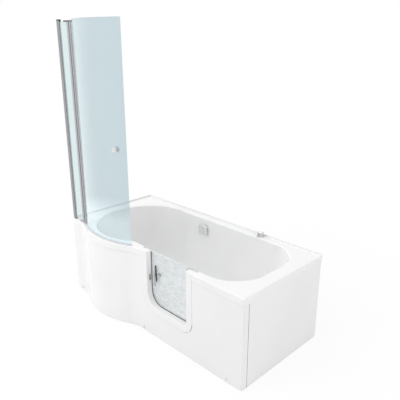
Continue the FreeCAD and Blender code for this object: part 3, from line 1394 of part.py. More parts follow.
wall_channel = channel("WallChannel", "profile_width", False, tile_face, screen_foot, "screen_top")
screen_middle = "(rim_height + screen_top) / 2"
wall_holes = []
hole_outer = "((screen_top - rim_height) / 2 - wall_hole_margin)"
hole_inner = "(%s - wall_hole_step)" % hole_outer
for spread in (hole_outer, hole_inner):
    for side in "+-":
        wall_holes.append(rod("WallHole%d" % len(wall_holes), "x",
                              (screen_y, "%s %s %s" % (screen_middle, side, spread)),
                              "wall_hole_radius", "%s - profile_wall" % tile_face,
                              "%s + 2 * profile_wall" % tile_face))
node(less("WallProfile", wall_channel, wall_holes), "wall_profile")
channel_low = "(%s + pivot_bracket_thickness)" % screen_foot
channel_high = "(screen_top - pivot_bracket_thickness)"
node(channel("HingeChannel", "hinge_channel_width", True, channel_right, channel_low, channel_high),
     "hinge_channel")
infill = block("InfillGlass",
               ("%s + profile_wall + screw_head_space" % tile_face,
                "%s - profile_wall - glass_slot_gap" % channel_right),
               ("%s - screen_thickness / 2" % screen_y, "%s + screen_thickness / 2" % screen_y),
               ("%s + fit_gap" % channel_low, channel_high))
node(infill, "infill_glass")
cap = block("ProfileCap", (tile_face, "%s + profile_width" % tile_face),
            ("%s - %s" % (screen_y, profile_half), "%s + %s" % (screen_y, profile_half)),
            ("screen_top", "screen_top + cap_thickness"))
node(cap, "profile_cap")

bracket_y = ("%s - %s" % (screen_y, profile_half), "%s + %s" % (screen_y, profile_half))
screen_axis = (screen_x, screen_y)
pivot_pieces = []
for name, low, high, pin_low, pin_high in (
        ("Low", screen_foot, channel_low, channel_low, "%s + pivot_length" % channel_low),
        ("High", channel_high, "screen_top", "%s - pivot_length" % channel_high, channel_high)):
    plate = block("PivotPlate" + name, ("%s - pivot_bracket_lap" % channel_left, screen_x), bracket_y,
                  (low, high))
    nose = rod("PivotNose" + name, "z", screen_axis, profile_half, low, high)
    pin = rod("PivotPin" + name, "z", screen_axis, "pivot_radius", pin_low, pin_high)
    pivot_pieces.append(fused("PivotBracket" + name, [plate, nose, pin]))
pivots = doc.addObject("Part::Compound", "PivotBrackets")
pivots.Links = pivot_pieces
node(pivots, "pivot_brackets")

entry = math.radians(size("screen_entry_angle"))
along = vector(math.cos(entry), -math.sin(entry))
inward = vector(math.sin(entry), math.cos(entry))
axis_point = vector(size(screen_x), size(screen_y))
glass_start = size("jaw_slot_start + fit_gap")
arc_centre = axis_point + along * glass_start + inward * size("screen_radius")
arc_sweep = size("screen_arc") / size("screen_radius")


def arc_point(radius, distance):
    angle = distance / size("screen_radius") - entry
    return arc_centre + vector(math.sin(angle), -math.cos(angle)) * radius


def curved_band(inner, outer, start, end, low, high):
    middle = (start + end) / 2
    edges = [arc(arc_point(inner, start), arc_point(inner, middle), arc_point(inner, end)),
             line(arc_point(inner, end), arc_point(outer, end)),
             arc(arc_point(outer, end), arc_point(outer, middle), arc_point(outer, start)),
             line(arc_point(outer, start), arc_point(inner, start))]
    return lifted(prism(edges, vector(0, 0, high - low)), low)


screen_half = size("screen_thickness") / 2
screen_r = size("screen_radius")
knob_distance = size("screen_arc - screen_knob_from_edge")
knob_outward = (arc_point(screen_r, knob_distance) - arc_centre).normalize()
knob_centre = arc_point(screen_r, knob_distance) + vector(0, 0, size("screen_knob_height"))
glass_low = size("rim_height + screen_lift")
glass_high = size("screen_top + cap_thickness")
screen_glass = curved_band(screen_r - screen_half, screen_r + screen_half, 0, size("screen_arc"),
                           glass_low, glass_high)
screen_glass = screen_glass.cut(cylinder(knob_centre - knob_outward * screen_r / 2,
                                         size("knob_bolt_radius + fit_gap"),
                                         screen_r, knob_outward))
feature("screen_glass", screen_glass)

strip_half = size("seal_strip_width") / 2
strip_start = size("jaw_reach - jaw_slot_start + tube_gap")
strip_low = size("rim_height + seal_strip_clear")
strip_high = strip_low + size("seal_strip_height")
strip = curved_band(screen_r - strip_half, screen_r + strip_half, strip_start, size("screen_arc"),
                    strip_low, strip_high)
strip_slot = curved_band(screen_r - screen_half - size("fit_gap"), screen_r + screen_half + size("fit_gap"),
                         strip_start - strip_half, size("screen_arc") + strip_half,
                         glass_low - size("fit_gap"), strip_high + strip_half)
feature("screen_seal", strip.cut(strip_slot))


def pivot_tube():
    low, high = size("%s + fit_gap" % channel_low), size("%s - fit_gap" % channel_high)
    height = high - low
    up = vector(0, 0, 1)
    base = axis_point + up * low
    tube = cylinder(base, size("tube_radius"), height, up)
    half = size("jaw_thickness") / 2
    reach = size("jaw_reach")
    jaw = prism([line(axis_point + inward * half, axis_point + inward * half + along * reach),
                 line(axis_point + inward * half + along * reach, axis_point - inward * half + along * reach),
                 line(axis_point - inward * half + along * reach, axis_point - inward * half),
                 line(axis_point - inward * half, axis_point + inward * half)], up * height)
    gap = size(slot_half)
    first, last = along * size("jaw_slot_start"), along * (2 * reach)
    slot = prism([line(axis_point + inward * gap + first, axis_point + inward * gap + last),
                  line(axis_point + inward * gap + last, axis_point - inward * gap + last),
                  line(axis_point - inward * gap + last, axis_point - inward * gap + first),
                  line(axis_point - inward * gap + first, axis_point + inward * gap + first)], up * height)
    pivot_bore = cylinder(base, size("pivot_radius + running_gap"), height, up)
    return tube.fuse(lifted(jaw, low)).cut([lifted(slot, low), pivot_bore]).removeSplitter()


feature("pivot_tube", pivot_tube())


def screen_knobs():
    radius, depth = size("screen_knob_radius"), size("screen_knob_depth")
    neck, crown = size("screen_knob_neck_share") * radius, size("crown_share") * radius
    swell, shoulder = size("screen_knob_swell_share") * depth, size("crown_share") * depth
    outline_points = [vector(0, 0, 0), vector(neck, 0, 0), vector(neck, 0, size("screen_knob_rise_share") * depth),
                      vector(radius, 0, swell), vector(radius, 0, shoulder), vector(crown, 0, depth),
                      vector(0, 0, depth), vector(0, 0, 0)]
    knob = Part.Face(Part.makePolygon(outline_points)).revolve(vector(0, 0, 0), vector(0, 0, 1), 360)
    knob = knob.cut(cylinder(vector(0, 0, 0), size("knob_bolt_radius + running_gap"), depth / 2,
                             vector(0, 0, 1)))
    shapes = []
    for side in (-1, 1):
        way = knob_outward * side
        shape = knob.copy()
        shape.Placement = FreeCAD.Placement(knob_centre + way * (screen_half + size("fit_gap") / 2),
                                            FreeCAD.Rotation(vector(0, 0, 1), way))
        shapes.append(shape)
    return Part.makeCompound(shapes)


feature("screen_knobs", screen_knobs())
bolt_half = size("screen_thickness / 2 + bolt_reach_share * screen_knob_depth")
feature("knob_bolt",
        cylinder(knob_centre - knob_outward * bolt_half, size("knob_bolt_radius"), 2 * bolt_half,
                 knob_outward))

doc.recompute()
for thing in doc.Objects:
    if "Invalid" in thing.State or "Error" in thing.State:
        raise RuntimeError("failed object: " + thing.Label)
for thing in nodes:
    shape = thing.Shape
    if shape.isNull() or not shape.isValid() or not shape.Solids:
        raise RuntimeError("bad shape: " + thing.Label)

os.makedirs("parts", exist_ok=True)
for thing in nodes:
    thing.Shape.exportStep("parts/%s.step" % thing.Label)
    print(thing.Label, len(thing.Shape.Solids), "solids", round(thing.Shape.Volume / 1000), "cm3")
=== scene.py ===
import json
import math
import bpy
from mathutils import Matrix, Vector


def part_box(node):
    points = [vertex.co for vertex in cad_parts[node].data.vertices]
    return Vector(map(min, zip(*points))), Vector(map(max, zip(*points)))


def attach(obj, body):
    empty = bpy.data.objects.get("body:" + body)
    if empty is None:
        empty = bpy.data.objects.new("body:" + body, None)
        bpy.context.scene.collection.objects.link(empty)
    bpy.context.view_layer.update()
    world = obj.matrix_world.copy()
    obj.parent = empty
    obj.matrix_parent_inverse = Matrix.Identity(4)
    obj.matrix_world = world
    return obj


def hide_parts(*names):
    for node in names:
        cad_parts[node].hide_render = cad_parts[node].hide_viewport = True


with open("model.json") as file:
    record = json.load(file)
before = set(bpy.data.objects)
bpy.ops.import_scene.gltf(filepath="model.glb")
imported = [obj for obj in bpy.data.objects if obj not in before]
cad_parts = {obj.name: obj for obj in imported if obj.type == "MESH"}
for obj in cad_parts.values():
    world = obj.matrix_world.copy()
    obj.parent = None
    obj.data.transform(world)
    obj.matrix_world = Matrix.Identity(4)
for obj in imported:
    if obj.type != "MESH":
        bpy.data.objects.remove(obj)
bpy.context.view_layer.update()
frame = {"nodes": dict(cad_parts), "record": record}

print("stage: frame loaded,", len(frame["nodes"]), "nodes")

# Camera at the photo's place
cameraSettings = {"place": (2.253, -2.062, 1.901), "yaw": 45.08, "pitch": 18.82, "lens": 43.2,
                  "sensor": 36.0, "clip": (0.05, 60)}


def addCamera(settings):
    data = bpy.data.cameras.new("photoCamera")
    data.lens = settings["lens"]
    data.sensor_width = settings["sensor"]
    data.clip_start, data.clip_end = settings["clip"]
    camera = bpy.data.objects.new("photoCamera", data)
    camera.location = settings["place"]
    camera.rotation_euler = (math.radians(90 - settings["pitch"]), 0, math.radians(settings["yaw"]))
    bpy.context.scene.collection.objects.link(camera)
    bpy.context.scene.camera = camera
    bpy.context.scene.view_settings.view_transform = "Standard"


addCamera(cameraSettings)


# A shader node with its settings and input values
def addNode(tree, kind, values=None, **settings):
    node = tree.nodes.new("ShaderNode" + kind)
    for name, setting in settings.items():
        setattr(node, name, setting)
    for title, value in (values or {}).items():
        node.inputs[title].default_value = value
    return node


def wire(tree, *pairs):
    for source, target in pairs:
        tree.links.new(source, target)


def eitherOf(tree, first, second):
    either = addNode(tree, "Math", operation="MAXIMUM")
    wire(tree, (first, either.inputs[0]), (second, either.inputs[1]))
    return either.outputs[0]


# One for the rays that show the white surround: straight from the camera, mirrored or through glass
def showingRays(tree):
    path = addNode(tree, "LightPath")
    seen = eitherOf(tree, path.outputs["Is Camera Ray"], path.outputs["Is Glossy Ray"])
    return eitherOf(tree, seen, path.outputs["Is Transmission Ray"])


# Soft studio light
lampSettings = {
    "key": {"place": (-1.9, -3.8, 3.6), "aim": (0, 0, 0.5), "size": 3.0, "power": 95},
    "fill": {"place": (4.2, -0.6, 2.4), "aim": (0.4, 0, 0.4), "size": 2.6, "power": 41},
    "side": {"place": (-4.6, 0.4, 2.7), "aim": (0.6, 0, 0.35), "size": 3.0, "power": 86, "mirrored": False},
    "top": {"place": (0.3, 0.2, 4.6), "aim": (0, 0, 0.4), "size": 3.0, "power": 29},
}


# Lamps light the part but don't show behind it or through glass
def addLamp(name, settings):
    data = bpy.data.lights.new(name, "AREA")
    data.size = settings["size"]
    data.energy = settings["power"]
    lamp = bpy.data.objects.new(name, data)
    lamp.location = settings["place"]
    aim = Vector(settings["aim"]) - Vector(settings["place"])
    lamp.rotation_euler = aim.to_track_quat("-Z", "Y").to_euler()
    lamp.visible_camera = False
    lamp.visible_transmission = False
    lamp.visible_glossy = settings.get("mirrored", True)
    bpy.context.scene.collection.objects.link(lamp)


# A softer light for the part than the white that is seen
worldSettings = {"colour": (1, 1, 1, 1), "lit": 0.6, "seen": 1.0}


def addWorld(settings):
    world = bpy.data.worlds.new("studioWorld")
    bpy.context.scene.world = world
    world.use_nodes = True
    tree = world.node_tree
    tree.nodes.clear()
    output = addNode(tree, "OutputWorld")
    mix = addNode(tree, "MixShader")
    soft = addNode(tree, "Background", {"Color": settings["colour"], "Strength": settings["lit"]})
    seen = addNode(tree, "Background", {"Color": settings["colour"], "Strength": settings["seen"]})
    wire(tree, (showingRays(tree), mix.inputs[0]), (soft.outputs[0], mix.inputs[1]),
         (seen.outputs[0], mix.inputs[2]), (mix.outputs[0], output.inputs["Surface"]))


# A white floor that takes a little shadow near the part and fades into the white surround
floorSettings = {"size": 30, "place": (0, 0, -0.001), "colour": (0.93, 0.93, 0.93, 1), "white": (1, 1, 1, 1),
                 "fadeFrom": 1.0, "fadeTo": 2.6, "shareNear": 0.88, "shareFar": 1.0}


def addFloor(settings):
    bpy.ops.object.select_all(action="DESELECT")
    bpy.ops.mesh.primitive_plane_add(size=settings["size"], location=settings["place"])
    floor = bpy.context.object
    floor.name = "studioFloor"
    material = bpy.data.materials.new("paleFloor")
    material.use_nodes = True
    tree = material.node_tree
    tree.nodes.clear()
    output = addNode(tree, "OutputMaterial")
    mix = addNode(tree, "MixShader")
    plain = addNode(tree, "BsdfDiffuse", {"Color": settings["colour"]})
    glow = addNode(tree, "Emission", {"Color": settings["white"], "Strength": 1.0})
    place = addNode(tree, "TexCoord")
    away = addNode(tree, "VectorMath", operation="LENGTH")
    fade = addNode(tree, "MapRange", {"From Min": settings["fadeFrom"], "From Max": settings["fadeTo"],
                                      "To Min": settings["shareNear"], "To Max": settings["shareFar"]})
    share = addNode(tree, "Math", operation="MULTIPLY")
    wire(tree, (place.outputs["Object"], away.inputs[0]), (away.outputs["Value"], fade.inputs["Value"]),
         (showingRays(tree), share.inputs[0]), (fade.outputs["Result"], share.inputs[1]),
         (share.outputs[0], mix.inputs[0]), (plain.outputs[0], mix.inputs[1]),
         (glow.outputs[0], mix.inputs[2]), (mix.outputs[0], output.inputs["Surface"]))
    floor.data.materials.append(material)


addWorld(worldSettings)
for lampName, settings in lampSettings.items():
    addLamp(lampName + "Lamp", settings)
addFloor(floorSettings)
print("stage: studio ready")

# Shared effects
effectSettings = {"cloudDetail": 5, "rippleDetail": 2, "cloudSpan": (0.35, 0.65), "grainScale": 6,
                  "grainDetail": 6, "grainRoughness": 0.65, "grainSpan": (0.3, 0.7),
                  "cloudDepth": 0.001, "grainDepth": 0.0006, "coatGloss": 0.06,
                  "glassDetail": 4, "glassSpan": (0.35, 0.65), "glassDepth": 0.0005, "glassIndex": 1.45}


# A group with the inputs and outputs that every effect has, and its own inputs
def newGroup(name, ownInputs):
    group = bpy.data.node_groups.new(name, "ShaderNodeTree")
    shared = [("Vector", "NodeSocketVector"), ("Colour", "NodeSocketColor"), ("Shade", "NodeSocketColor"),
              ("Gloss Low", "NodeSocketFloat"), ("Gloss High", "NodeSocketFloat")]
    for title, kind in shared + ownInputs:
        group.interface.new_socket(title, in_out="INPUT", socket_type=kind)
    for title, kind in (("Colour", "NodeSocketColor"), ("Roughness", "NodeSocketFloat"),
                        ("Height", "NodeSocketFloat")):
        group.interface.new_socket(title, in_out="OUTPUT", socket_type=kind)
    return group, group.nodes.new("NodeGroupInput"), group.nodes.new("NodeGroupOutput")


# Spreads a noise over its middle span, and blends colour and gloss by it
def blendByNoise(group, enter, leave, noise, span):
    spread = addNode(group, "MapRange", {"From Min": span[0], "From Max": span[1]})
    blend = addNode(group, "Mix", data_type="RGBA")
    gloss = addNode(group, "MapRange")
    wire(group, (noise.outputs["Fac"], spread.inputs["Value"]),
         (spread.outputs["Result"], blend.inputs["Factor"]),
         (enter.outputs["Colour"], blend.inputs["A"]), (enter.outputs["Shade"], blend.inputs["B"]),
         (spread.outputs["Result"], gloss.inputs["Value"]),
         (enter.outputs["Gloss Low"], gloss.inputs["To Min"]),
         (enter.outputs["Gloss High"], gloss.inputs["To Max"]),
         (blend.outputs["Result"], leave.inputs["Colour"]),
         (gloss.outputs["Result"], leave.inputs["Roughness"]))
    return spread


# Faint clouding of colour and gloss, with a fine ripple for the surface
def makeClouding(settings):
    group, enter, leave = newGroup("faintClouding", [("Cloud Scale", "NodeSocketFloat"),
                                                     ("Ripple Scale", "NodeSocketFloat")])
    cloud = addNode(group, "TexNoise", {"Detail": settings["cloudDetail"]})
    ripple = addNode(group, "TexNoise", {"Detail": settings["rippleDetail"]})
    blendByNoise(group, enter, leave, cloud, settings["cloudSpan"])
    wire(group, (enter.outputs["Vector"], cloud.inputs["Vector"]),
         (enter.outputs["Cloud Scale"], cloud.inputs["Scale"]),
         (enter.outputs["Vector"], ripple.inputs["Vector"]),
         (enter.outputs["Ripple Scale"], ripple.inputs["Scale"]),
         (ripple.outputs["Fac"], leave.inputs["Height"]))
    return group


# Long drawn lines, as on drawn aluminium, brushed steel or sawn timber
def makeDrawnLines(settings):
    group, enter, leave = newGroup("drawnLines", [("Stretch", "NodeSocketVector")])
    scale = addNode(group, "VectorMath", operation="MULTIPLY")
    grain = addNode(group, "TexNoise", {"Scale": settings["grainScale"], "Detail": settings["grainDetail"],
                                        "Roughness": settings["grainRoughness"]})
    spread = blendByNoise(group, enter, leave, grain, settings["grainSpan"])
    wire(group, (enter.outputs["Vector"], scale.inputs[0]), (enter.outputs["Stretch"], scale.inputs[1]),
         (scale.outputs["Vector"], grain.inputs["Vector"]),
         (spread.outputs["Result"], leave.inputs["Height"]))
    return group


cloudingGroup = makeClouding(effectSettings)
drawnGroup = makeDrawnLines(effectSettings)


def startMaterial(name):
    material = bpy.data.materials.new(name)
    material.use_nodes = True
    tree = material.node_tree
    return material, tree, tree.nodes["Principled BSDF"], addNode(tree, "TexCoord")


# A material on one of the shared effects, with the effect's own values
def effectMaterial(name, look, group, ownValues, depth):
    material, tree, shader, place = startMaterial(name)
    values = {"Colour": (*look["colour"], 1), "Shade": (*look["shade"], 1),
              "Gloss Low": look["gloss"][0], "Gloss High": look["gloss"][1]}
    effect = addNode(tree, "Group", {**values, **ownValues}, node_tree=group)
    bump = addNode(tree, "Bump", {"Strength": look["bump"], "Distance": depth})
    wire(tree, (place.outputs["Object"], effect.inputs["Vector"]),
         (effect.outputs["Colour"], shader.inputs["Base Color"]),
         (effect.outputs["Roughness"], shader.inputs["Roughness"]),
         (effect.outputs["Height"], bump.inputs["Height"]), (bump.outputs["Normal"], shader.inputs["Normal"]))
    shader.inputs["Metallic"].default_value = look.get("metal", 0.0)
    return material, shader


def cloudedMaterial(name, look):
    values = {"Cloud Scale": look["cloud"], "Ripple Scale": look["ripple"]}
    material, shader = effectMaterial(name, look, cloudingGroup, values, effectSettings["cloudDepth"])
    shader.inputs["Coat Weight"].default_value = look.get("coat", 0.0)
    shader.inputs["Coat Roughness"].default_value = effectSettings["coatGloss"]
    return material


def drawnMaterial(name, look):
    values = {"Stretch": look["stretch"]}
    return effectMaterial(name, look, drawnGroup, values, effectSettings["grainDepth"])[0]


# Zero to one across a span of the object's own X or Z
def spanShare(tree, place, axis, span):
    parts = addNode(tree, "SeparateXYZ")
    share = addNode(tree, "MapRange", {"From Min": span[0], "From Max": span[1]},
                    interpolation_type="SMOOTHSTEP")
    wire(tree, (place.outputs["Object"], parts.inputs[0]), (parts.outputs[axis], share.inputs["Value"]))
    return share.outputs["Result"]


# Glass with a faint haze, a clear shadow and, where it has one, a paler part that is painted light: the
# brightness of what shows through the pane, painted into its colour
def glassMaterial(name, look):
    material, tree, shader, place = startMaterial(name)
    low, high = effectSettings["glassSpan"]
    stretch = addNode(tree, "VectorMath", {1: look["streaks"]}, operation="MULTIPLY")
    cloud = addNode(tree, "TexNoise", {"Scale": look["cloud"], "Detail": effectSettings["glassDetail"],
                                       "Distortion": look["swirl"]})
    spread = addNode(tree, "MapRange", {"From Min": low, "From Max": high})
    tint = addNode(tree, "Mix", {"A": (*look["colour"], 1), "B": (*look["shade"], 1)}, data_type="RGBA")
    wire(tree, (place.outputs["Object"], stretch.inputs[0]),
         (stretch.outputs["Vector"], cloud.inputs["Vector"]),
         (cloud.outputs["Fac"], spread.inputs["Value"]), (spread.outputs["Result"], tint.inputs["Factor"]))
    colour = tint.outputs["Result"]
    # Painted light: the tint turns paler low down and towards the wall end, standing in for the bright bath
    # seen through the pane
    if "paintedLightTint" in look:
        paintedLightMix = addNode(tree, "Mix", {"B": (*look["paintedLightTint"], 1)}, data_type="RGBA")
        below = spanShare(tree, place, "Z", look["paintedLightBelow"])
        beside = spanShare(tree, place, "X", look["paintedLightBeside"])
        wire(tree, (eitherOf(tree, below, beside), paintedLightMix.inputs["Factor"]), (colour, paintedLightMix.inputs["A"]))
        colour = paintedLightMix.outputs["Result"]
    bump = addNode(tree, "Bump", {"Strength": look["bump"], "Distance": effectSettings["glassDepth"]})
    ripple = addNode(tree, "TexNoise", {"Scale": look["ripple"], "Distortion": look["swirl"]})
    wire(tree, (colour, shader.inputs["Base Color"]), (stretch.outputs["Vector"], ripple.inputs["Vector"]),
         (ripple.outputs["Fac"], bump.inputs["Height"]), (bump.outputs["Normal"], shader.inputs["Normal"]))
    shader.inputs["Roughness"].default_value = look["gloss"]
    shader.inputs["IOR"].default_value = effectSettings["glassIndex"]
    shader.inputs["Transmission Weight"].default_value = look["clear"]
    mix = addNode(tree, "MixShader")
    clear = addNode(tree, "BsdfTransparent", {"Color": (*look["shadow"], 1)})
    path = addNode(tree, "LightPath")
    passing = eitherOf(tree, path.outputs["Is Shadow Ray"], path.outputs["Is Diffuse Ray"])
    wire(tree, (passing, mix.inputs[0]), (shader.outputs[0], mix.inputs[1]),
         (clear.outputs[0], mix.inputs[2]),
         (mix.outputs[0], tree.nodes["Material Output"].inputs["Surface"]))
    return material


looks = {
    "acrylic": {"colour": (0.86, 0.86, 0.855), "shade": (0.835, 0.835, 0.835), "cloud": 3.0, "ripple": 90,
                "gloss": (0.10, 0.17), "bump": 0.02, "coat": 0.3},
    "panel": {"colour": (0.85, 0.85, 0.85), "shade": (0.825, 0.825, 0.828), "cloud": 2.5, "ripple": 120,
              "gloss": (0.16, 0.24), "bump": 0.02, "coat": 0.2},
    "whiteCap": {"colour": (0.72, 0.72, 0.72), "shade": (0.64, 0.64, 0.64), "cloud": 60, "ripple": 400,
                 "gloss": (0.25, 0.35), "bump": 0.05},
    "chrome": {"colour": (0.93, 0.93, 0.94), "shade": (0.85, 0.86, 0.87), "cloud": 30, "ripple": 300,
               "gloss": (0.05, 0.12), "bump": 0.01, "metal": 1.0},
    "blackChrome": {"colour": (0.14, 0.143, 0.148), "shade": (0.09, 0.092, 0.096), "cloud": 40, "ripple": 300,
                    "gloss": (0.08, 0.18), "bump": 0.01, "metal": 1.0},
    "rubber": {"colour": (0.018, 0.018, 0.02), "shade": (0.035, 0.035, 0.037), "cloud": 40, "ripple": 700,
               "gloss": (0.5, 0.7), "bump": 0.15},
    "greySeal": {"colour": (0.2, 0.205, 0.21), "shade": (0.14, 0.145, 0.15), "cloud": 30, "ripple": 600,
                 "gloss": (0.4, 0.6), "bump": 0.1},
    "clearSeal": {"colour": (0.72, 0.75, 0.77), "shade": (0.62, 0.66, 0.68), "cloud": 25, "ripple": 500,
                  "gloss": (0.25, 0.4), "bump": 0.05},
    "paleEdge": {"colour": (0.74, 0.785, 0.8), "shade": (0.66, 0.71, 0.725), "cloud": 20, "ripple": 300,
                 "gloss": (0.15, 0.3), "bump": 0.03},
    # Painted shade for the corner seam, worn by the end panel's cut edge
    "paintedSeamShade": {"colour": (0.3, 0.29, 0.28), "shade": (0.22, 0.215, 0.21), "cloud": 80, "ripple": 500,
                "gloss": (0.6, 0.8), "bump": 0.2},
    # Dark grey sealant that also serves as a painted shadow line round the door surround
    "sealantShadowLine": {"colour": (0.26, 0.26, 0.265), "shade": (0.2, 0.2, 0.205), "cloud": 30, "ripple": 250,
                "gloss": (0.3, 0.45), "bump": 0.08},
    # Light grey for the strip under the skirt, painted shade for the shadow gap between rim and panels
    "shadowGapStrip": {"colour": (0.72, 0.72, 0.725), "shade": (0.66, 0.66, 0.665), "cloud": 30, "ripple": 400,
               "gloss": (0.4, 0.55), "bump": 0.06},
    "glassFibre": {"colour": (0.62, 0.62, 0.53), "shade": (0.5, 0.51, 0.42), "cloud": 22, "ripple": 140,
                   "gloss": (0.4, 0.65), "bump": 0.6},
    "greyPlastic": {"colour": (0.1, 0.105, 0.115), "shade": (0.13, 0.135, 0.145), "cloud": 12, "ripple": 600,
                    "gloss": (0.4, 0.55), "bump": 0.2},
    # Near-black plastic for the real dark caps and brackets; also worn as painted shade in the cap dimples,
    # jet air holes and motor slots
    "darkCapAndHoleShade": {"colour": (0.03, 0.031, 0.034), "shade": (0.05, 0.051, 0.054), "cloud": 50, "ripple": 500,
                "gloss": (0.3, 0.45), "bump": 0.08},
    "whitePipe": {"colour": (0.74, 0.74, 0.72), "shade": (0.66, 0.66, 0.64), "cloud": 9, "ripple": 250,
                  "gloss": (0.35, 0.5), "bump": 0.06},
    "board": {"colour": (0.36, 0.25, 0.14), "shade": (0.24, 0.16, 0.085), "cloud": 130, "ripple": 500,
              "gloss": (0.65, 0.85), "bump": 0.4},
    "timber": {"colour": (0.48, 0.33, 0.17), "shade": (0.33, 0.21, 0.1), "stretch": (2, 14, 14),
               "gloss": (0.6, 0.8), "bump": 0.3},
    "anodised": {"colour": (0.52, 0.52, 0.54), "shade": (0.46, 0.46, 0.48), "stretch": (60, 60, 0.6),
                 "gloss": (0.2, 0.3), "bump": 0.02, "metal": 1.0},
    "wallAnodised": {"colour": (0.4, 0.405, 0.415), "shade": (0.34, 0.345, 0.355), "stretch": (60, 60, 0.6),
                     "gloss": (0.2, 0.3), "bump": 0.02, "metal": 1.0},
    "satinMetal": {"colour": (0.68, 0.68, 0.69), "shade": (0.6, 0.6, 0.61), "stretch": (4, 60, 60),
                   "gloss": (0.25, 0.35), "bump": 0.02, "metal": 1.0},
    "steel": {"colour": (0.5, 0.5, 0.5), "shade": (0.36, 0.36, 0.37), "stretch": (25, 25, 8),
              "gloss": (0.25, 0.45), "bump": 0.1, "metal": 1.0},
    # The screen's paler tint low down and towards the wall end is painted light
    "screenGlass": {"colour": (0.588, 0.69, 0.727), "shade": (0.575, 0.673, 0.708),
                    "paintedLightTint": (0.84, 0.955, 0.995), "paintedLightBelow": (0.93, 0.72), "paintedLightBeside": (-0.33, -0.9),
                    "streaks": (1, 1, 0.3), "cloud": 2.0, "swirl": 0.0, "ripple": 3.0, "clear": 0.87,
                    "gloss": 0.0, "bump": 0.01, "shadow": (0.96, 0.965, 0.97)},
    "infillGlass": {"colour": (0.74, 0.84, 0.85), "shade": (0.71, 0.81, 0.82), "streaks": (1, 1, 0.3),
                    "cloud": 2.0, "swirl": 0.0, "ripple": 3.0, "clear": 0.8, "gloss": 0.0, "bump": 0.01,
                    "shadow": (0.96, 0.965, 0.97)},
    "doorGlass": {"colour": (0.98, 1.0, 1.0), "shade": (0.79, 0.84, 0.865), "streaks": (0.7, 1, 1.7),
                  "cloud": 30, "swirl": 1.6, "ripple": 40, "clear": 0.84, "gloss": 0.16, "bump": 0.6,
                  "shadow": (0.97, 0.972, 0.975)},
}
finishes = {}
for finishName, look in looks.items():
    if "clear" in look:
        finishes[finishName] = glassMaterial(finishName, look)
    elif "stretch" in look:
        finishes[finishName] = drawnMaterial(finishName, look)
    else:
        finishes[finishName] = cloudedMaterial(finishName, look)
print("stage: finishes ready,", len(finishes))

# Which finish each CAD node wears
nodeFinish = {
    "acrylic": ["bath_shell", "door_frame"],
    "panel": ["front_panel", "end_panel", "door_surround"],
    "whiteCap": ["screw_caps", "screen_knobs"],
    "blackChrome": ["latch_lever", "latch_knob"],
    "chrome": ["hinge_brackets", "hinge_clamps", "latch_bush", "latch_ring", "waste_flange",
               "waste_plug", "overflow_ring", "overflow_knob", "air_jets", "control_button"],
    "rubber": ["plug_seal", "overflow_gasket", "leg_pads", "blower_feet"],
    "greySeal": ["door_seal"],
    "clearSeal": ["screen_seal"],
    "greyPlastic": ["panel_clips", "blower_housing", "blower_motor", "control_nut"],
    "darkCapAndHoleShade": ["profile_cap", "pivot_brackets"],
    "whitePipe": ["waste_body", "overflow_body", "overflow_pipe", "air_manifold", "air_riser"],
    "board": ["base_board"],
    "timber": ["panel_blocks"],
    "anodised": ["hinge_channel", "pivot_tube", "latch_tongue"],
    "satinMetal": ["door_top_clip", "control_base", "control_dial"],
    "wallAnodised": ["wall_profile"],
    "steel": ["panel_screws", "hinge_pins", "latch_spindle", "leg_rails", "leg_studs", "leg_nuts",
              "knob_bolt"],
    "screenGlass": ["screen_glass"],
    "infillGlass": ["infill_glass"],
    "doorGlass": ["door_glass"],
}
bodies = frame["record"]["behaviour"]["bodies"]
nodeBody = {node: body for body, members in bodies.items() for node in members}
smoothSettings = {"merge": 0.00002, "angle": 38,
                  "ownAngles": {"bath_shell": 32, "front_panel": 30, "door_surround": 40}}


def wear(thing, finish):
    thing.data.materials.clear()
    thing.data.materials.append(finishes[finish])


def chooseOnly(piece):
    bpy.ops.object.select_all(action="DESELECT")
    bpy.context.view_layer.objects.active = piece
    piece.select_set(True)


# Opens the active piece for editing with all of it picked
def openWhole():
    bpy.ops.object.mode_set(mode="EDIT")
    bpy.ops.mesh.select_all(action="SELECT")


# A merged copy of a node with smooth faces, standing for the node
def smoothCopy(node, finish, settings):
    angle = settings["ownAngles"].get(node, settings["angle"])
    source = frame["nodes"][node]
    piece = bpy.data.objects.new(node + ".smooth", source.data.copy())
    bpy.context.scene.collection.objects.link(piece)
    chooseOnly(piece)
    openWhole()
    bpy.ops.mesh.remove_doubles(threshold=settings["merge"])
    bpy.ops.object.mode_set(mode="OBJECT")
    bpy.ops.mesh.customdata_custom_splitnormals_clear()
    bpy.ops.object.shade_smooth_by_angle(angle=math.radians(angle))
    weighted = piece.modifiers.new("evenNormals", "WEIGHTED_NORMAL")
    weighted.keep_sharp = True
    bpy.ops.object.modifier_apply(modifier=weighted.name)
    wear(piece, finish)
    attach(piece, nodeBody[node])
    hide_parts(node)
    return piece


dressed = {}
for finishName, members in nodeFinish.items():
    for node in members:
        dressed[node] = smoothCopy(node, finishName, smoothSettings)
print("stage: nodes dressed")


# Sets what kind of thing is picked in a piece, and clears the picks
def clearPicks(piece, kind):
    chooseOnly(piece)
    bpy.ops.object.mode_set(mode="EDIT")
    bpy.ops.mesh.select_mode(type=kind)
    bpy.ops.mesh.select_all(action="DESELECT")
    bpy.ops.object.mode_set(mode="OBJECT")


# Opens a piece for editing with the faces that a test picks
def pickFaces(piece, picks):
    clearPicks(piece, "FACE")
    for face in piece.data.polygons:
        face.select = picks(face)
    bpy.ops.object.mode_set(mode="EDIT")


def dressFaces(node, finish, picks):
    piece = dressed[node]
    piece.data.materials.append(finishes[finish])
    piece.active_material_index = len(piece.data.materials) - 1
    pickFaces(piece, picks)
    bpy.ops.object.material_slot_assign()
    bpy.ops.object.mode_set(mode="OBJECT")


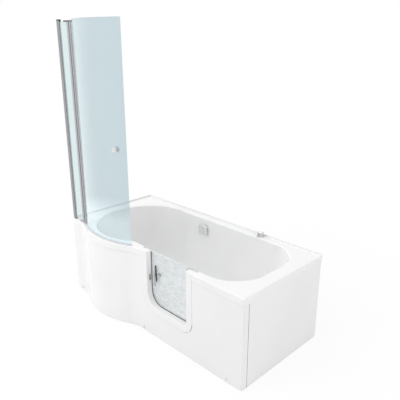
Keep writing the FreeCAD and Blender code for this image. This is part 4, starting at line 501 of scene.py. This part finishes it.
# Second finishes: pane edges, raw undersides, the lower bracket, and painted shade on the end panel's seam
# edge and in the caps' dimples
secondSettings = {"half": 0.5, "straight": 0.9, "under": -0.3, "tip": 0.0025, "lowerBracket": 1.0,
                  "dimple": 0.001, "shellLine": ((-0.395, 0.01), (0.4, 0.02)), "shellTop": 0.549,
                  "frameLine": ((0.03, -0.24), (0.4, -0.24)), "frameTop": 0.58}


# Faces below a height that look down or away from a line between two plan points
def facesAway(line, top, settings):
    first, last = line

    def picks(face):
        along = last[0] - first[0]
        share = min(1.0, max(0.0, (face.center.x - first[0]) / along))
        middle = (first[0] + share * along, first[1] + share * (last[1] - first[1]))
        outward = face.normal.x * (face.center.x - middle[0]) + face.normal.y * (face.center.y - middle[1])
        turnedAway = outward > 0.0 or face.normal.z < settings["under"]
        return face.center.z < top and turnedAway and face.normal.z < settings["half"]
    return picks


def addSecondFinishes(settings):
    half, straight = settings["half"], settings["straight"]
    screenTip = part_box("screen_glass")[1][0] - settings["tip"]
    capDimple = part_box("screw_caps")[0][1] + settings["dimple"]

    def isScreenEdge(face):
        return abs(face.normal.z) > straight or (face.center.x > screenTip and face.normal.x > half)
    dressFaces("door_glass", "paleEdge", lambda face: abs(face.normal.y) < half)
    dressFaces("infill_glass", "paleEdge", lambda face: abs(face.normal.y) < half)
    dressFaces("screen_glass", "paleEdge", isScreenEdge)
    dressFaces("bath_shell", "glassFibre", facesAway(settings["shellLine"], settings["shellTop"], settings))
    dressFaces("door_frame", "glassFibre", facesAway(settings["frameLine"], settings["frameTop"], settings))
    dressFaces("pivot_brackets", "anodised", lambda face: face.center.z < settings["lowerBracket"])
    # Painted shade: the end panel's cut edge facing the corner seam is darkened so the seam reads as a
    # shadowed gap
    dressFaces("end_panel", "paintedSeamShade", lambda face: face.normal.y < -straight)
    # Painted shade: the floor of each cap's dimple wears the near-black finish, standing in for the shade in
    # the recess
    dressFaces("screw_caps", "darkCapAndHoleShade", lambda face: face.normal.y < -straight and face.center.y > capDimple)


addSecondFinishes(secondSettings)
print("stage: second finishes on edges, undersides and dimples")

# Values that the small pieces share: the facings tell the ends of a cylinder from its side
smallSettings = {"joinAngle": 35, "bevelSteps": 3, "beadSteps": 3, "beadMerge": 0.00001,
                 "endFacing": 0.9, "sideFacing": 0.1}
quarterTurn = math.radians(90)


# A copy with its own mesh, set elsewhere
def twin(piece, place, turn=(0, 0, 0)):
    other = piece.copy()
    other.data = piece.data.copy()
    other.location = place
    other.rotation_euler = turn
    bpy.context.scene.collection.objects.link(other)
    return other


# Joins pieces where they stand into one that goes with a node
def gathered(pieces, name, finish, node):
    chooseOnly(pieces[0])
    for piece in pieces:
        piece.select_set(True)
    if len(pieces) > 1:
        bpy.ops.object.join()
    bpy.ops.object.transform_apply(location=True, rotation=True, scale=True)
    bpy.ops.object.shade_smooth_by_angle(angle=math.radians(smallSettings["joinAngle"]))
    whole = bpy.context.view_layer.objects.active
    whole.name = name
    wear(whole, finish)
    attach(whole, nodeBody[node])


def bevelledBlock(size, rounding):
    bpy.ops.object.select_all(action="DESELECT")
    bpy.ops.mesh.primitive_cube_add(size=1)
    piece = bpy.context.object
    piece.scale = size
    bpy.ops.object.transform_apply(location=False, rotation=False, scale=True)
    openWhole()
    bpy.ops.mesh.bevel(offset=rounding, segments=smallSettings["bevelSteps"], affect="EDGES")
    bpy.ops.object.mode_set(mode="OBJECT")
    return piece


# A cylinder with its upper end worked in steps, each an inset width and a depth
def steppedPin(sides, radius, depth, steps):
    bpy.ops.object.select_all(action="DESELECT")
    bpy.ops.mesh.primitive_cylinder_add(vertices=sides, radius=radius, depth=depth)
    pin = bpy.context.object
    pickFaces(pin, lambda face: face.normal.z > smallSettings["endFacing"])
    for width, rise in steps:
        bpy.ops.mesh.inset(thickness=width, depth=rise)
    bpy.ops.object.mode_set(mode="OBJECT")
    return pin


# Glazing beads either side of the fixed pane, in the mouths of wall profile and hinge channel
beadSettings = {"wide": 0.0043, "deep": 0.004, "rounding": 0.0008, "fromPane": 0.00525, "paneY": -0.321,
                "mouths": ((-0.8162, 0.605, 1.99), (-0.7108, 0.6197, 1.9755))}


def addGlazingBeads(settings):
    beads = []
    for x, low, high in settings["mouths"]:
        bead = bevelledBlock((settings["deep"], settings["wide"], high - low), settings["rounding"])
        bead.location = (x, settings["paneY"] - settings["fromPane"], (low + high) / 2)
        beads += [bead, twin(bead, (x, settings["paneY"] + settings["fromPane"], (low + high) / 2))]
    gathered(beads, "glazingBeads", "clearSeal", "wall_profile")


addGlazingBeads(beadSettings)

# Air holes round the crown of each jet: a flat lip, then a shallow well, all near-black as painted shade for
# the depth of the hole
eyeSettings = {"sides": 14, "radius": 0.0013, "depth": 0.0012, "steps": ((0.0004, 0), (0.0001, -0.0007)),
               "ring": 0.0066, "height": 0.1533, "count": 6,
               "columns": [-0.52 + 0.18 * step for step in range(6)], "rows": (-0.04, 0.13)}


def addJetEyes(settings):
    eye = steppedPin(settings["sides"], settings["radius"], settings["depth"], settings["steps"])
    angles = [2 * math.pi * step / settings["count"] for step in range(settings["count"])]
    around = [(settings["ring"] * math.cos(angle), settings["ring"] * math.sin(angle)) for angle in angles]
    eyes = [twin(eye, (x + along, y + across, settings["height"]))
            for x in settings["columns"] for y in settings["rows"] for along, across in around]
    bpy.data.objects.remove(eye)
    gathered(eyes, "jetEyes", "darkCapAndHoleShade", "air_jets")


addJetEyes(eyeSettings)

# Socket screws through the hinge clamps, one head on each face of the leaf: a chamfer, a flat and a socket
headSettings = {"sides": 24, "radius": 0.0034, "depth": 0.0014,
                "steps": ((0.0005, 0.0003), (0.0009, 0), (0.0001, -0.0009)),
                "x": 0.4225, "heights": (0.261, 0.5), "faces": ((-0.2782, 1), (-0.2938, -1))}


def addHingeScrews(settings):
    head = steppedPin(settings["sides"], settings["radius"], settings["depth"], settings["steps"])
    heads = []
    for y, outward in settings["faces"]:
        for z in settings["heights"]:
            place = (settings["x"], y + outward * settings["depth"] / 2, z)
            heads.append(twin(head, place, (-outward * quarterTurn, 0, 0)))
    bpy.data.objects.remove(head)
    gathered(heads, "hingeScrews", "steel", "hinge_clamps")


addHingeScrews(headSettings)

# Cooling slots round the blower motor, clear of the cable gland: near-black bars, painted shade standing for
# the openings
slotSettings = {"size": (0.0014, 0.0034, 0.027), "rounding": 0.0006, "axis": (0.725, -0.09), "reach": 0.042,
                "height": 0.102, "count": 18, "glandAngle": 90, "clear": 18}


def addMotorSlots(settings):
    louvre = bevelledBlock(settings["size"], settings["rounding"])
    louvres = []
    for step in range(settings["count"]):
        angle = 360 * step / settings["count"]
        if abs(angle - settings["glandAngle"]) > settings["clear"]:
            turn = math.radians(angle)
            place = (settings["axis"][0] + settings["reach"] * math.cos(turn),
                     settings["axis"][1] + settings["reach"] * math.sin(turn), settings["height"])
            louvres.append(twin(louvre, place, (0, 0, turn)))
    bpy.data.objects.remove(louvre)
    gathered(louvres, "motorSlots", "darkCapAndHoleShade", "blower_motor")


addMotorSlots(slotSettings)


# A ring made from a cylinder: the ends are inset, opened and bridged
def plainRing(sides, outer, inner, depth):
    bpy.ops.object.select_all(action="DESELECT")
    bpy.ops.mesh.primitive_cylinder_add(vertices=sides, radius=outer, depth=depth)
    ring = bpy.context.object
    wall = (outer - inner) * math.cos(math.pi / sides)
    pickFaces(ring, lambda face: abs(face.normal.z) > smallSettings["endFacing"])
    bpy.ops.mesh.inset(thickness=wall, depth=0, use_individual=True)
    bpy.ops.mesh.delete(type="FACE")
    bpy.ops.mesh.select_mode(type="EDGE")
    bpy.ops.mesh.select_all(action="DESELECT")
    bpy.ops.mesh.select_non_manifold()
    bpy.ops.mesh.bridge_edge_loops()
    bpy.ops.mesh.select_all(action="SELECT")
    bpy.ops.mesh.normals_make_consistent(inside=False)
    bpy.ops.object.mode_set(mode="OBJECT")
    return ring


# Ribbed nuts on the sockets and joints of the overflow and air pipes
nutSettings = {"sides": 48, "outer": 0.0205, "depth": 0.014, "airInner": 0.01725, "overflowInner": 0.0162,
               "ribEvery": 4, "ribEdge": 0.0004, "ribRise": 0.0012,
               "riser": (0.785, -0.09, 0.1165), "stub": (0.4955, 0.045, 0.088),
               "overflow": (-0.128, 0.397, 0.462), "waste": (-0.128, 0.0912, 0.055)}


def ribbedNut(settings, inner):
    nut = plainRing(settings["sides"], settings["outer"], inner, settings["depth"])
    middle = (inner + settings["outer"]) / 2
    step = 2 * math.pi / settings["sides"]

    def isRib(face):
        far = math.hypot(face.center.x, face.center.y)
        place = int(round(math.atan2(face.center.y, face.center.x) / step - 0.5))
        onSide = abs(face.normal.z) < smallSettings["sideFacing"] and far > middle
        return onSide and place % settings["ribEvery"] == 0
    pickFaces(nut, isRib)
    bpy.ops.mesh.inset(thickness=settings["ribEdge"], depth=settings["ribRise"], use_individual=True)
    bpy.ops.object.mode_set(mode="OBJECT")
    return nut


def addPipeNuts(settings):
    nut = ribbedNut(settings, settings["airInner"])
    nut.location = settings["riser"]
    pair = [nut, twin(nut, settings["stub"], (0, quarterTurn, 0))]
    gathered(pair, "airPipeNuts", "whitePipe", "air_riser")
    nut = ribbedNut(settings, settings["overflowInner"])
    nut.location = settings["overflow"]
    pair = [nut, twin(nut, settings["waste"], (quarterTurn, 0, 0))]
    gathered(pair, "overflowPipeNuts", "whitePipe", "overflow_pipe")


addPipeNuts(nutSettings)

# Hexagon nut on the motor's cable gland
glandSettings = {"sides": 6, "outer": 0.0125, "inner": 0.0097, "depth": 0.006,
                 "place": (0.725, -0.0365, 0.096)}


def addGlandNut(settings):
    nut = plainRing(settings["sides"], settings["outer"], settings["inner"], settings["depth"])
    nut.location = settings["place"]
    nut.rotation_euler = (quarterTurn, 0, 0)
    gathered([nut], "glandNut", "darkCapAndHoleShade", "blower_motor")


addGlandNut(glandSettings)

# Screw thread on the levelling studs, between the pads and the rails
threadSettings = {"corners": 3, "ridge": 0.0009, "centre": 0.0061, "flatten": 0.36, "pitch": 0.00175,
                  "low": 0.0152, "turns": 51, "steps": 20, "columns": (-0.43, 0.11, 0.434),
                  "rows": (-0.18, 0.27)}


# A flattened triangle wound up a screw, with its two ends closed
def addStudThreads(settings):
    bpy.ops.object.select_all(action="DESELECT")
    bpy.ops.mesh.primitive_circle_add(vertices=settings["corners"], radius=settings["ridge"],
                                      rotation=(0, 0, -quarterTurn))
    thread = bpy.context.object
    bpy.ops.object.transform_apply(location=False, rotation=True, scale=False)
    thread.rotation_euler = (quarterTurn, 0, 0)
    thread.scale = (settings["flatten"], 1, 1)
    thread.location = (settings["centre"], 0, 0)
    bpy.ops.object.transform_apply(location=True, rotation=True, scale=True)
    wind = thread.modifiers.new("wind", "SCREW")
    wind.screw_offset = settings["pitch"]
    wind.iterations = settings["turns"]
    wind.steps = wind.render_steps = settings["steps"]
    bpy.ops.object.modifier_apply(modifier=wind.name)
    openWhole()
    bpy.ops.mesh.fill_holes(sides=settings["corners"])
    bpy.ops.mesh.select_all(action="SELECT")
    bpy.ops.mesh.normals_make_consistent(inside=False)
    bpy.ops.object.mode_set(mode="OBJECT")
    threads = [twin(thread, (x, y, settings["low"])) for x in settings["columns"] for y in settings["rows"]]
    bpy.data.objects.remove(thread)
    gathered(threads, "studThreads", "steel", "leg_studs")


addStudThreads(threadSettings)


# A round bead along the edges of a node that a test keeps
# The test is given the ends of an edge and the height of the lowest face beside it
def edgeBead(node, keeps, radius):
    line = twin(dressed[node], (0, 0, 0))
    clearPicks(line, "EDGE")
    lowest = {}
    for face in line.data.polygons:
        for key in face.edge_keys:
            lowest[key] = min(lowest.get(key, face.center.z), face.center.z)
    for edge in line.data.edges:
        ends = [line.data.vertices[index].co for index in edge.vertices]
        edge.select = not keeps(ends, lowest[edge.key])
    bpy.ops.object.mode_set(mode="EDIT")
    bpy.ops.mesh.delete(type="EDGE")
    bpy.ops.mesh.select_all(action="SELECT")
    bpy.ops.mesh.delete_loose(use_verts=True, use_edges=False, use_faces=False)
    bpy.ops.object.mode_set(mode="OBJECT")
    bpy.ops.object.convert(target="CURVE")
    curve = bpy.context.object.data
    curve.bevel_depth = radius
    curve.bevel_resolution = smallSettings["beadSteps"]
    curve.use_fill_caps = True
    bpy.ops.object.convert(target="MESH")
    openWhole()
    bpy.ops.mesh.remove_doubles(threshold=smallSettings["beadMerge"])
    bpy.ops.mesh.normals_make_consistent(inside=False)
    bpy.ops.object.mode_set(mode="OBJECT")
    return bpy.context.object


# Sealant line where the surround meets the panel, dark grey so that it also gives the painted shadow line
# along the surround's edge
lineSettings = {"radius": 0.0019, "panelFace": -0.3325, "level": 0.0002, "margin": 0.02, "top": 0.549}


def addShadowSealantLine(settings):
    low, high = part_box("door_surround")

    def outside(point):
        sides = min(point.x - low[0], high[0] - point.x, point.z - low[2])
        onFace = abs(point.y - settings["panelFace"]) < settings["level"]
        return onFace and sides < settings["margin"] and point.z < settings["top"]
    line = edgeBead("door_surround", lambda ends, below: all(map(outside, ends)), settings["radius"])
    gathered([line], "surroundShadowSealant", "sealantShadowLine", "door_surround")


addShadowSealantLine(lineSettings)

# Thin light-grey strip along the shoulder of each panel, in the gap under the skirt: painted shade for the
# shadow gap there
shadowGapStripSettings = {"radius": 0.0015, "drop": 0.0013, "shoulder": 0.549, "level": 0.0002, "wallBelow": 0.001,
                  "panels": {"front_panel": "frontShadowGapStrip", "end_panel": "endShadowGapStrip"}}


def addShadowGapStrips(settings):
    shoulder = settings["shoulder"]

    def onShoulder(ends, below):
        level = all(abs(point.z - shoulder) < settings["level"] for point in ends)
        return level and below < shoulder - settings["wallBelow"]
    for node, name in settings["panels"].items():
        shadowGapStrip = edgeBead(node, onShoulder, settings["radius"])
        shadowGapStrip.location = (0, 0, -settings["drop"])
        gathered([shadowGapStrip], name, "shadowGapStrip", node)


addShadowGapStrips(shadowGapStripSettings)
print("stage: small pieces added")
